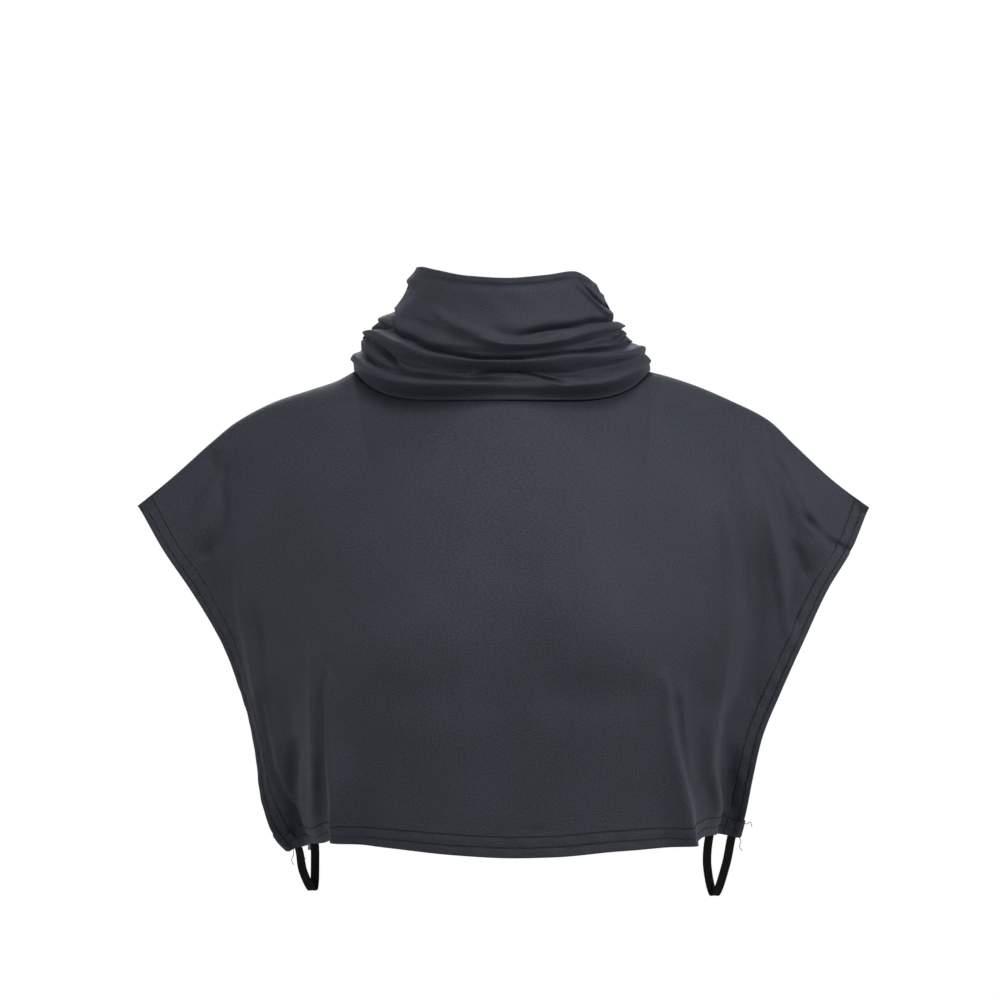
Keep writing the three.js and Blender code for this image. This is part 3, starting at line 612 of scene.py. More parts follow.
@dataclass
class Panel:
    """One body panel, the same surface as its solid, with finer folds, turned hems and stitches.

    A place on it has across, from -1 at the left armhole to 1 at the right one, and drop, from 0 at the top
    line to 1 at the hem.

    even is how far the shoulders' crest is evened out below itself, even_depth how far the depth is, and
    body_bend how square the body is at the top and at the hem. lean is how much a fold at the side stands out
    sideways, and fine_lean the share of it that a crease has. A fold fades out over fold_end times its width,
    and a crease over crease_end. Both begin softly below the top line.
    """

    name: str
    node: str
    facing: Facing
    sections: tuple[Section, ...]
    turn: Turn
    hem: tuple[HemPoint, ...]
    folds: tuple[Fold, ...]
    creases: tuple[Crease, ...]
    band_share: float
    columns: int
    side_columns: int
    rows: int
    flat: tuple[float, float]
    area: float
    even: float = 24.0
    even_depth: float = 7.0
    body_bend: tuple[float, float] = (2.1, 2.7)
    body_round: float = 0.85
    crown: float = -12.0
    crown_bend: float = 2.6
    lean: float = 0.85
    fine_lean: float = 0.5
    fold_end: float = 2.5
    fold_start: float = 0.08
    crease_end: float = 14.0
    crease_start: float = 0.03
    bust_spread: float = 74.0
    bust_z: float = -186.0
    bust_wide: float = 44.0
    bust_tall: float = 62.0
    bust_height: float = 9.0
    tracks: dict[str, Track] = field(default_factory=dict)

    def __post_init__(self) -> None:
        """Makes a curve of each column of the sections."""
        for column in Section._fields[1:]:
            self.tracks[column] = Track.of(self.sections, "drop", column)
        self.tracks["hem"] = Track.of(self.hem, "across", "z")
        self.tracks["shoulder left"] = Track.of(SHOULDER, "out", "left")
        self.tracks["shoulder right"] = Track.of(SHOULDER, "out", "right")

    def depth(self, drop: Array, column: str) -> Array:
        """A depth at a drop, evened out over the sections beside it."""
        near = np.minimum(0.05, np.minimum(drop, 1 - drop))
        track = self.tracks[column]
        return (track(drop - near) + 2 * track(drop) + track(drop + near)) / 4

    def crest_z(self, x: Array) -> Array:
        """The height of the shoulder seam at a place, and of its smooth run over the neck opening."""
        away = np.abs(x - NECK.middle)
        over_neck = NECK.side_z + self.turn.crest * (1 - (away / NECK.half) ** 2)
        long_left = abs(self.sections[0].left - NECK.middle) - NECK.half
        long_right = abs(self.sections[0].right - NECK.middle) - NECK.half
        left = self.tracks["shoulder left"]((away - NECK.half) / long_left)
        right = self.tracks["shoulder right"]((away - NECK.half) / long_right)
        return np.where(away < NECK.half, over_neck, np.where(x < NECK.middle, left, right))

    def turned(self, x: Array, z: Array) -> Array:
        """How far the cloth has turned down from the shoulders, from 0 on their crest to 1 on the body."""
        reach = mix(self.turn.near, self.turn.far, smooth(np.abs(x - NECK.middle) / self.turn.width))
        crest = self.crest_z(x)
        steps = np.linspace(-self.even, self.even, 5)
        evened = sum(self.crest_z(x + step) for step in steps) / len(steps)
        crest = mix(crest, evened, smooth((crest - z) / self.even))
        share = clamp((crest - z) / reach)
        return np.sqrt(np.sin(share * math.pi / 2))

    def top_line(self, across: Array) -> tuple[Array, Array]:
        """The shoulder seams and the neck seam between them, as x and z."""
        side = np.where(across < 0, -1.0, 1.0)
        out = (np.abs(across) - NECK.share) / (1 - NECK.share)
        tip = np.where(across < 0, self.sections[0].left, self.sections[0].right)
        shoulder_x = mix(NECK.middle + side * NECK.half, tip, out)
        angle = clamp(np.abs(across) / NECK.share) * side * math.pi / 2
        sine = np.abs(np.sin(angle))
        if self.facing is Facing.FRONT:
            rise = -NECK.front_drop * (1 - sine**6)
        else:
            rise = NECK.back_rise * (1 - sine**3) - NECK.back_dip * np.sin(2 * angle) ** 2
        neck_x = NECK.middle + NECK.half * np.sin(angle)
        on_shoulder = out >= 0
        x = np.where(on_shoulder, shoulder_x, neck_x)
        return x, np.where(on_shoulder, self.crest_z(shoulder_x), NECK.side_z + rise)

    def band(self, across: Array, drop: Array) -> Array:
        """The width of the armhole band, as it shows from the front."""
        return np.where(across < 0, self.tracks["band_left"](drop), self.tracks["band_right"](drop))

    def hem_place(self, across: Array, drop: Array, half: Array) -> Array:
        """Where a column runs: the last ones keep to the armhole band."""
        side = np.where(across < 0, -1.0, 1.0)
        band = self.band(across, drop) / half
        inner = 1 - self.band_share
        body = across / inner * (1 - band)
        on_band = side * (1 - band * (1 - np.abs(across)) / self.band_share)
        return np.where(np.abs(across) <= inner, body, on_band)

    def plain_depth(self, place: Array, level: Array, half: Array) -> Array:
        """The depth of the round body and of the armhole bands beside it."""
        band = self.band(place, level)
        inner = 1 - band / half
        share = np.minimum(1, np.abs(place) / inner)
        rounded = (1 - share ** mix(*self.body_bend, level)) ** self.body_round
        on_band = np.maximum(0, (np.abs(place) - inner) / (1 - inner))
        back = np.sqrt(CLOTH.armhole_band**2 - band**2)
        deep = mix(self.depth(level, "edge"), self.depth(level, "middle"), rounded)
        return deep - self.facing.value * back * on_band

    def soft_depth(self, place: Array, level: Array, half: Array) -> Array:
        """The depth, evened out over the cloth beside it."""
        step = self.even_depth / half
        total = np.zeros_like(place)
        for k, weight in EVEN_WEIGHTS:
            total = total + weight * self.plain_depth(np.clip(place + k * step, -1, 1), level, half)
        return total / sum(weight for _, weight in EVEN_WEIGHTS)

    def bust(self, x: Array, z: Array) -> Array:
        """How far the bust lifts the front."""
        cups = bell(x - self.bust_spread, self.bust_wide) + bell(x + self.bust_spread, self.bust_wide)
        return self.bust_height * np.minimum(1, cups) * bell(z - self.bust_z, self.bust_tall)

    def fold_at(self, x: Array, z: Array) -> tuple[Array, Array]:
        """How far the folds lift the cloth at a place, and how far they push it sideways."""
        lift, push = np.zeros_like(x), np.zeros_like(x)
        for fold in self.folds:
            share = (fold.z0 - z) / (fold.z0 - fold.z1)
            t = clamp(share)
            rolled = fold.roll * smooth(t * 1.1 - 0.1)
            middle = mix(fold.x0, fold.x1, t) + 4 * fold.bow * t * (1 - t) - rolled
            beyond = (share - t) * (fold.z0 - fold.z1)
            width = mix(fold.w0, fold.w1, t)
            hump = bell(x - middle, width) * bell(beyond, self.fold_end * width)
            lift = lift + mix(fold.h0, fold.h1, t) * hump
            push = push + rolled * hump
        return lift, push

    def crease_at(self, x: Array, z: Array) -> Array:
        """How far the finer creases lift the cloth at a place."""
        lift = np.zeros_like(x)
        for crease in self.creases:
            line = np.array(crease.line, float)
            away, side, inside = from_line(x, z, line)
            reach = np.where(side < 0, crease.left, crease.right)
            lift = lift + crease.height * bell(away, reach) * smooth(inside / self.crease_end + 0.1)
        return lift

    def at(self, across: Array, drop: Array) -> Array:
        """The cloth's outer face at each place, in millimetres.

        Args:
            across: places from -1 to 1.
            drop: places from 0 to 1.

        Returns:
            The points, with x, y and z along the last axis.
        """
        across, drop = np.broadcast_arrays(np.asarray(across, float), np.asarray(drop, float))
        top_x, top_z = self.top_line(across)
        left, right = self.tracks["left"](drop), self.tracks["right"](drop)
        first = self.sections[0]
        top_place = (2 * top_x - first.left - first.right) / (first.right - first.left)
        half = (right - left) / 2
        place = mix(top_place, self.hem_place(across, drop, half), smooth(drop * 1.3))
        x = mix(left, right, (place + 1) / 2)
        hem_z = self.tracks["hem"](across)
        z = mix(top_z, hem_z, drop)
        tip_z = np.where(across < 0, SHOULDER[-1].left, SHOULDER[-1].right)
        crown = mix(self.crown, tip_z, np.abs(place) ** self.crown_bend)
        level = clamp((crown - z) / (crown - hem_z))
        deep = self.soft_depth(place, level, half)
        if self.facing is Facing.FRONT:
            deep = deep - self.bust(x, z)
        y = mix(SEAM_Y, deep, self.turned(x, z)) + self.facing.value * GAP / 2
        lean = self.lean * place**3 * smooth((1 - np.abs(place)) * 12)
        lift, push = self.fold_at(x, z)
        fade = smooth(drop / self.fold_start)
        x = x + (lean * lift + push * smooth((1 - np.abs(across)) * 9)) * fade
        fine = self.crease_at(x, z) * smooth(drop / self.crease_start)
        x = x + self.fine_lean * lean * fine
        y = y + self.facing.value * (np.sqrt(1 - lean**2) * lift * fade + fine)
        return np.stack([x, y, z], -1)

    def outward(self, across: Array, drop: Array) -> Array:
        """The direction square to the cloth at each place, away from the body."""
        step = 0.004
        left = self.at(np.clip(across - step, -1, 1), drop)
        right = self.at(np.clip(across + step, -1, 1), drop)
        up = self.at(across, np.clip(drop - step, 0, 1))
        down = self.at(across, np.clip(drop + step, 0, 1))
        return unit(self.facing.value * np.cross(right - left, down - up))

    def hem_reach(self) -> float:
        """The drop that one millimetre of cloth takes at the hem."""
        ends = self.at(np.zeros(2), np.array([0.97, 1.0]))
        return 0.03 / float(np.linalg.norm(ends[1] - ends[0]))

    def band_reach(self) -> float:
        """The part of across that one millimetre of the armhole band takes."""
        return self.band_share / CLOTH.armhole_band

    def distances(self, across: Array, drop: Array) -> tuple[Array, Array]:
        """How far each place is from its armhole's edge and from the hem's edge, in millimetres of cloth."""
        # Only the places near an edge are measured
        out = np.full(across.shape, NO_HEM)
        down = np.full(across.shape, NO_HEM)
        fine = np.linspace(0, 1, 420)
        for side in Side:
            near = across * side.value > 1 - 2.3 * self.band_share
            if near.any():
                edge = self.at(np.full_like(fine, side.value), fine)
                out[near] = nearest(self.at(across[near], drop[near]), edge)
        near = drop > 1 - 2.4 * CLOTH.hem * self.hem_reach()
        if near.any():
            down[near] = nearest(self.at(across[near], drop[near]), self.at(fine * 2 - 1, np.ones_like(fine)))
        return out, down

    def relief(self, across: Array, drop: Array, out: Array, down: Array) -> Array:
        """The small relief of hems and seams, in millimetres along the outward direction.

        Args:
            across: places from -1 to 1.
            drop: places from 0 to 1.
            out: how far each is from its armhole's edge.
            down: how far each is from the hem's edge.

        Returns:
            The relief at each place.
        """
        # Rough millimetres along the hem, the armhole and the body
        along_hem, along_band = across * 150.0, drop * 340.0
        lift = BODY_WAVE.at(across * 170.0, drop * 300.0)
        # The waves are highest in the middle of each hem
        lift = lift + bell(down - 10, 10.0) * HEM_WAVE.at(along_hem, down)
        lift = lift + bell(out - 8, 9.0) * ARMHOLE_WAVE.at(along_band, out)
        for away, hem, rows in (
            (down, CLOTH.hem, CLOTH.hem_rows),
            (out, CLOTH.armhole_hem, CLOTH.armhole_rows),
        ):
            lift = lift + CLOTH.hem_step * smooth((hem - away) / CLOTH.furrow_wide)
            for row in rows:
                lift = lift - CLOTH.furrow_deep * bell(away - row, CLOTH.furrow_wide)
        on_shoulder = np.abs(across) > NECK.share
        seam = np.where(on_shoulder, 0.7 * bell(along_band, 1.6), 1.2 * bell(along_band, 2.2))
        return lift - seam

    def places(self) -> tuple[Array, Array, Array, Array]:
        """The sheet's rows and columns: their places, and how far inside the outer face each lies.

        The cloth runs down to the hem, round its fold and up again inside, and the same at each armhole. Its
        sides, where the folds are, have closer columns than its middle.
        """
        hem_turn = self.turned_edge(CLOTH.hem, self.hem_reach(), steps=9)
        band_turn = self.turned_edge(CLOTH.armhole_hem, self.band_reach(), steps=6)
        body_drop = 1 - 1.3 * CLOTH.hem * self.hem_reach()
        # Close rows at the seams, even ones down the body and close ones through the hem and round its fold
        rows = np.concatenate([
            [0, 0.002, 0.005, 0.009],
            np.linspace(0.014, body_drop, self.rows),
            np.linspace(body_drop, hem_turn[0][0], 14)[1:-1],
            hem_turn[0],
        ])
        # Even columns over the plain middle, closer ones at the side, through the band and round its fold
        inner = 1 - 1.2 * self.band_share
        plain = 0.42
        middle = np.linspace(-plain, plain, self.columns)
        side = np.linspace(plain, inner, self.side_columns)[1:]
        band = np.linspace(inner, band_turn[0][0], 12)[1:-1]
        right = np.concatenate([side, band, band_turn[0]])
        columns = np.concatenate([-right[::-1], middle, right])
        row_depth = np.concatenate([np.zeros(len(rows) - len(hem_turn[1])), hem_turn[1]])
        right_depth = np.concatenate([np.zeros(len(side) + len(band)), band_turn[1]])
        column_depth = np.concatenate([right_depth[::-1], np.zeros(len(middle)), right_depth])
        return rows, columns, row_depth, column_depth

    @staticmethod
    def turned_edge(deep: float, reach: float, steps: int) -> tuple[Array, Array]:
        """Places round a folded edge and back inside the cloth, and how far inside each lies.

        Args:
            deep: the hem's depth in millimetres.
            reach: the part of a panel that one millimetre takes.
            steps: how many places the inner layer has.

        Returns:
            The places, with the edge at 1, and the distances inside.
        """
        radius = CLOTH.fold_radius
        turns = np.linspace(0, math.pi, 7)
        bend = 1 - (radius - radius * np.sin(turns)) * reach
        inside = 1 - np.linspace(radius + 1.0, deep, steps) * reach
        depths = np.concatenate([radius * (1 - np.cos(turns)), np.full(steps, 2 * radius)])
        return np.concatenate([bend, inside]), depths

    def sheet_points(self) -> tuple[Array, Array, Array]:
        """The cloth's points, their places on the flat cut and their distances from its edges."""
        rows, columns, row_depth, column_depth = self.places()
        if self.facing is Facing.BACK:
            columns, column_depth = columns[::-1], column_depth[::-1]
        across, drop = np.meshgrid(columns, rows)
        outward = self.outward(across, drop)
        depth = row_depth[:, None] + column_depth[None, :]
        out, down = self.distances(across, drop)
        relief = self.relief(across, drop, out, down) * smooth(1 - depth / CLOTH.fold_radius)
        points = self.at(across, drop) + outward * (relief - depth)[..., None]
        cut = flat_cut(points[len(rows) // 2], points[:, len(columns) // 2])
        inside = depth > CLOTH.fold_radius
        return points, cut, np.where(inside[..., None], NO_HEM, np.stack([out, down], -1))

    def build(self, finish: Finish) -> Piece:
        """Args:
            finish: the cloth's finish.

        Returns:
            The panel's object.
        """
        return declare(add_sheet(self.name, *self.sheet_points(), CLOTH.thick), finish, self.node)

    def stitch_lines(self) -> list[tuple[Array, Array]]:
        """The twin-needle rows along the hem and both armholes, each as its points and outward directions."""
        lines = []
        count = 520
        steps = np.linspace(0, 1, 24)[:, None]
        for row in CLOTH.hem_rows:
            across = np.linspace(-1 + 2.5 * self.band_reach(), 1 - 2.5 * self.band_reach(), count)[None]
            drop = 1 - steps * 1.8 * row * self.hem_reach()
            across, drop = np.broadcast_arrays(across, drop)
            down = self.distances(across, drop)[1]
            found = [np.interp(row, down[:, k], drop[:, k]) for k in range(across.shape[1])]
            lines.append(self.on_cloth(across[0], np.array(found)))
        for side in Side:
            for row in CLOTH.armhole_rows:
                drop = np.linspace(0.004, 1 - 2.0 * self.hem_reach(), count)[None]
                across = side.value * (1 - steps * 2.0 * row * self.band_reach())
                across, drop = np.broadcast_arrays(across, drop)
                out = self.distances(across, drop)[0]
                found = [np.interp(row, out[:, k], across[:, k]) for k in range(across.shape[1])]
                lines.append(self.on_cloth(np.array(found), drop[0]))
        return lines

    def on_cloth(self, across: Array, drop: Array) -> tuple[Array, Array]:
        """Points on the finished outer face, and the direction out of it at each."""
        outward = self.outward(across, drop)
        relief = self.relief(across, drop, *self.distances(across, drop))
        return self.at(across, drop) + outward * relief[:, None], outward


@dataclass
class CollarHalf:
    """One half of the doubled collar, folded over at the rim and gathered into the side seams.

    It runs from start to end, in degrees round the neck, and is free of the neck seam's own form by free_by.
    Ruches fade over ruche_ends degrees, the seam's gathers over gather_reach degrees and up to gather_rise,
    and the push upwards within push_reach degrees of a seam. depth makes all ruches deeper, and inner_share
    is how much of them the inner layer shows.
    """

    name: str
    node: str
    start: float
    end: float
    ruches: tuple[Ruche, ...]
    panels: dict[Facing, Panel]
    columns: int
    rows: int
    flat: tuple[float, float]
    free_by: float = 0.12
    radius: float = 60.0
    height: float = 100.0
    ruche_ends: float = 16.0
    gather_reach: float = 20.0
    gather_rise: float = 0.72
    push_reach: float = 22.0
    end_rise: float = 0.05
    depth: float = 1.45
    inner_share: float = 0.8
    layer_gap: float = 2.6

    def detail(self, angle: Array, rise: Array, share: float) -> tuple[Array, Array]:
        """How far the ruches lift the cloth at a place, and how far they push it up.

        Args:
            angle: degrees round the neck.
            rise: from 0 at the base to 1 at the rim.
            share: how much of the ruches this layer shows.

        Returns:
            The lift and the push, in millimetres.
        """
        lift, push = np.zeros_like(angle), np.zeros_like(angle)
        for ruche in self.ruches:
            line = Track([p[0] for p in ruche.line], [p[1] for p in ruche.line])
            inside = np.minimum(angle - line.places[0], line.places[-1] - angle)
            fade = smooth(inside / self.ruche_ends + 0.35)
            away = rise - line(angle)
            near = np.where(away < 0, ruche.below, ruche.above) * mix(1.7, 1.0, share)
            lift = lift + self.depth * ruche.height * share * fade * bell(away, near)
            proud = share * fade * bell(away + 2.2 * ruche.below, 1.7 * ruche.below)
            lift = lift + ruche.edge * proud
            push = push + ruche.lip * proud
        seam = np.minimum(np.abs(angle - self.start), np.abs(self.end - angle))
        gather = GATHER_WAVE.at(seam * 0.25, rise * self.height)
        near_seam = smooth(1 - seam / self.gather_reach) * smooth((self.gather_rise - rise) / 0.2)
        lift = lift + gather * near_seam * share
        lift = lift + COLLAR_WAVE.at(angle * 1.2, rise * self.height) * share
        ends = smooth(rise / self.end_rise) * smooth((1 - rise) / self.end_rise)
        return lift * ends, push * ends * smooth(seam / self.push_reach + 0.1)

    def at(self, angle: Array, rise: Array, share: float) -> Array:
        """The outer layer's face at each place, in millimetres."""
        turn = np.radians(angle)
        across = np.arcsin(np.sin(turn)) / (math.pi / 2) * NECK.share
        front = self.panels[Facing.FRONT].at(across, np.zeros_like(across))
        back = self.panels[Facing.BACK].at(across, np.zeros_like(across))
        base = np.where((np.cos(turn) >= 0)[..., None], front, back)
        rim = Track.of(RIM, "angle", "z")(angle)
        columns = ("left", "right", "front", "back")
        left, right, front_y, back_y = (Track.of(RINGS, "rise", column)(rise) for column in columns)
        lift, push = self.detail(angle, rise, share)
        half = (right - left) / 2 + lift
        deep = (back_y - front_y) / 2 + lift
        x = (right + left) / 2 + half * np.sin(turn)
        y = (back_y + front_y) / 2 - deep * np.cos(turn)
        free = smooth(rise / self.free_by)
        z = mix(base[..., 2] + GAP, rim, rise) + push
        return np.stack([mix(base[..., 0], x, free), mix(base[..., 1], y, free), z], -1)

    def outward(self, angle: Array, rise: Array, share: float) -> Array:
        """The direction square to the cloth at each place, away from the neck."""
        turn, step = 0.8, 0.012
        left = self.at(np.clip(angle - turn, self.start, self.end), rise, share)
        right = self.at(np.clip(angle + turn, self.start, self.end), rise, share)
        low = self.at(angle, np.clip(rise - step, 0, 1), share)
        high = self.at(angle, np.clip(rise + step, 0, 1), share)
        return unit(np.cross(right - left, high - low))

    def sheet_points(self) -> tuple[Array, Array, Array]:
        """The cloth's points, up inside, over the rim's fold and down the outside, and its two maps."""
        seam = math.degrees(GAP / 2 / self.radius)
        angles = np.linspace(self.start + seam, self.end - seam, self.columns)
        inner_rise = np.linspace(0, 0.985, self.rows // 2)
        outer_rise = np.linspace(1, 0, self.rows)
        angle, rise = np.meshgrid(angles, inner_rise)
        inner = self.at(angle, rise, self.inner_share) - self.layer_gap * self.outward(angle, rise, 0.0)
        angle, rise = np.meshgrid(angles, outer_rise)
        outer = self.at(angle, rise, 1.0)
        turns = np.linspace(math.pi, 0, 9)[1:-1]
        top = outer[0]
        out = self.outward(angles[None], np.ones((1, len(angles))), 0.0)[0]
        out[:, 2] = 0
        out = unit(out)
        radius = self.layer_gap / 2
        fold = [top - out * radius * (1 - math.cos(t)) + point(0, 0, radius * math.sin(t)) for t in turns]
        points = np.concatenate([inner, np.array(fold), outer])
        cut = flat_cut(outer[self.rows // 2], points[:, len(angles) // 2])
        return points, cut, np.full_like(cut, NO_HEM)

    def build(self, finish: Finish) -> Piece:
        """Args:
            finish: the cloth's finish.

        Returns:
            The half's object.
        """
        return declare(add_sheet(self.name, *self.sheet_points(), CLOTH.thick), finish, self.node)


def deselect() -> None:
    """Leaves nothing selected, out of edit mode."""
    if bpy.context.object and bpy.context.object.mode != "OBJECT":
        bpy.ops.object.mode_set(mode="OBJECT")
    bpy.ops.object.select_all(action="DESELECT")


def select(*pieces: Piece) -> None:
    """Selects these pieces and no others, the first one as the active one."""
    deselect()
    for piece in pieces:
        piece.select_set(True)
    bpy.context.view_layer.objects.active = pieces[0]


def declare(piece: Piece, finish: Finish, node: str = "") -> Piece:
    """Puts a finish on a piece and declares its body and the solid that it replaces, if any."""
    finish.dress(piece)
    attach(piece, "root")
    if node:
        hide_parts(node)
    return piece


def add_tube(name: str, sections: Array) -> Piece:
    """Makes a closed tube.

    Args:
        name: the piece's name.
        sections: the points of each section in millimetres, sections by points round them.

    Returns:
        The tube's object.
    """
    count, ring = sections.shape[:2]
    deselect()
    bpy.ops.mesh.primitive_cylinder_add(vertices=ring, radius=1, depth=1)
    piece = bpy.context.object
    piece.name = piece.data.name = name
    index = np.arange(count * ring).reshape(count, ring)
    after = np.roll(index, -1, axis=1)
    quads = np.stack([index[:-1], after[:-1], after[1:], index[1:]], -1).reshape(-1, 4)
    faces = quads.tolist() + [index[0][::-1].tolist(), index[-1].tolist()]
    piece.data.clear_geometry()
    piece.data.from_pydata((sections.reshape(-1, 3) * MM).tolist(), [], faces)
    return piece


def round_off(piece: Piece) -> None:
    """Turns a piece's faces outwards and shades them smooth."""
    select(piece)
    bpy.ops.object.mode_set(mode="EDIT")
    bpy.ops.mesh.select_all(action="SELECT")
    bpy.ops.mesh.normals_make_consistent(inside=False)
    bpy.ops.object.mode_set(mode="OBJECT")
    bpy.ops.object.shade_smooth()


def set_corners(mesh: bpy.types.Mesh, layer: str, places: Array) -> None:
    """Writes each point's two coordinates in millimetres to a UV layer."""
    corner = np.empty(len(mesh.loops), int)
    mesh.loops.foreach_get("vertex_index", corner)
    mesh.uv_layers[layer].data.foreach_set("uv", (places[corner] * MM).ravel())


def add_sheet(name: str, points: Array, cut: Array, edges: Array, thick: float) -> Piece:
    """Makes a sheet of cloth from a grid of points.

    Args:
        name: the piece's name.
        points: the outer face in millimetres, rows by columns.
        cut: the same places on the flat cut in millimetres, which the knit follows.
        edges: how far each is from the armhole and from the hem in millimetres, NO_HEM inside a turned hem.
        thick: the cloth's thickness in millimetres, which goes inwards.

    Returns:
        The sheet's object.
    """
    rows, columns = points.shape[:2]
    deselect()
    bpy.ops.mesh.primitive_grid_add(x_subdivisions=columns - 1, y_subdivisions=rows - 1, size=2)
    piece = bpy.context.object
    piece.name = piece.data.name = name
    mesh = piece.data
    flat = np.empty(len(mesh.vertices) * 3)
    mesh.vertices.foreach_get("co", flat)
    flat = flat.reshape(-1, 3)
    column = np.rint((flat[:, 0] + 1) / 2 * (columns - 1)).astype(int)
    row = np.rint((1 - flat[:, 1]) / 2 * (rows - 1)).astype(int)
    mesh.vertices.foreach_set("co", (points[row, column] * MM).ravel())
    mesh.uv_layers.active.name = "cut"
    set_corners(mesh, "cut", cut[row, column])
    mesh.uv_layers.new(name="edges")
    set_corners(mesh, "edges", edges[row, column])
    mesh.update()
    wall = piece.modifiers.new("cloth thickness", "SOLIDIFY")
    wall.thickness = thick * MM
    wall.offset = -1
    select(piece)
    bpy.ops.object.modifier_apply(modifier=wall.name)
    bpy.ops.object.shade_smooth()
    return piece


def set_inputs(tree: Tree, node: bpy.types.Node, values: dict[Any, Any]) -> None:
    """Sets a node's inputs.

    Args:
        tree: the material's node tree.
        node: the node.
        values: for each input, by name or number, an output to link or a value to set.
    """
    for key, value in values.items():
        if isinstance(value, Socket):
            tree.links.new(value, node.inputs[key])
        else:
            node.inputs[key].default_value = value


def add_node(tree: Tree, kind: str, values: dict[Any, Any] | None = None, **settings: Any) -> bpy.types.Node:
    """Adds a node.

    Args:
        tree: the material's node tree.
        kind: the node's type, without the words Shader Node.
        values: for each input, by name or number, an output to link or a value to set.
        settings: the node's own settings.

    Returns:
        The node.
    """
    node = tree.nodes.new(f"ShaderNode{kind}")
    for key, value in settings.items():
        setattr(node, key, value)
    set_inputs(tree, node, values or {})
    return node


def add_math(tree: Tree, operation: str, *values: Any) -> Socket:
    """The result of a sum on one, two or three values."""
    return add_node(tree, "Math", dict(enumerate(values)), operation=operation).outputs[0]


def add_fade(tree: Tree, value: Socket, near: float, far: float, first: float, last: float) -> Socket:
    """A soft passage from the first level to the last one, while a value goes from near to far."""
    return add_node(tree, "MapRange", {
        "Value": value, "From Min": near, "From Max": far, "To Min": first, "To Max": last,
    }, interpolation_type="SMOOTHSTEP").outputs[0]


def add_blend(tree: Tree, share: Socket, low: Any, high: Any) -> Socket:
    """A colour between two colours."""
    return add_node(tree, "Mix", {"Factor": share, 6: low, 7: high}, data_type="RGBA").outputs[2]


def add_bump(
    tree: Tree, height: Socket, strength: float, high_mm: float, under: Socket | None = None, **settings: Any
) -> Socket:
    """Bump of a height in millimetres, on top of the bump under it."""
    values = {"Height": height, "Strength": strength, "Distance": high_mm * MM}
    if under is not None:
        values["Normal"] = under
    return add_node(tree, "Bump", values, **settings).outputs[0]


def add_cells(tree: Tree, place: Socket, wide_mm: float, long_mm: float) -> Socket:
    """Coordinates that run by one for each width and each length in millimetres."""
    return add_node(tree, "Mapping", {
        "Vector": place, "Scale": (1 / (wide_mm * MM), 1 / (long_mm * MM), 1),
    }).outputs[0]


def add_yarns(tree: Tree, place: Socket, wide_mm: float, long_mm: float) -> tuple[Socket, Socket]:
    """Lengthwise ribs and the V-shaped yarns that slant across them, both from 0 to half."""
    apart = add_node(tree, "SeparateXYZ", {0: add_cells(tree, place, wide_mm, long_mm)})
    rib = add_math(tree, "PINGPONG", apart.outputs["X"], 0.5)
    slant = add_math(tree, "ADD", apart.outputs["Y"], rib)
    return rib, add_math(tree, "PINGPONG", slant, 0.5)


def add_grain(tree: Tree, size_mm: float) -> Socket:
    """Soft noise in the piece's own space, with grains of the given size."""
    place = add_node(tree, "TexCoord").outputs["Object"]
    values = {"Vector": place, "Scale": 1 / (size_mm * MM), "Detail": 2.0}
    return add_node(tree, "TexNoise", values).outputs["Fac"]


def from_hex(colour: str) -> tuple[float, float, float, float]:
    """A colour written as sRGB hex digits, as linear values."""
    levels = [int(colour[k : k + 2], 16) / 255 for k in (0, 2, 4)]
    linear = [v / 12.92 if v <= 0.04045 else ((v + 0.055) / 1.055) ** 2.4 for v in levels]
    return (*linear, 1.0)


class Finish:
    """A finish that can be put on a piece."""

    name = "finish"

    def nodes(self, tree: Tree, shader: bpy.types.Node) -> None:
        """Adds the finish's own nodes to its shader."""

    def dress(self, piece: Piece) -> None:
        """Gives a piece this finish as its only material."""
        piece.data.materials.clear()
        piece.data.materials.append(self.material())

    def material(self) -> bpy.types.Material:
        """The finish's material, made once."""
        known = bpy.data.materials.get(self.name)
        if known:
            return known
        made = bpy.data.materials.new(self.name)
        made.use_nodes = True
        shader = made.node_tree.nodes["Principled BSDF"]
        self.nodes(made.node_tree, shader)
        return made


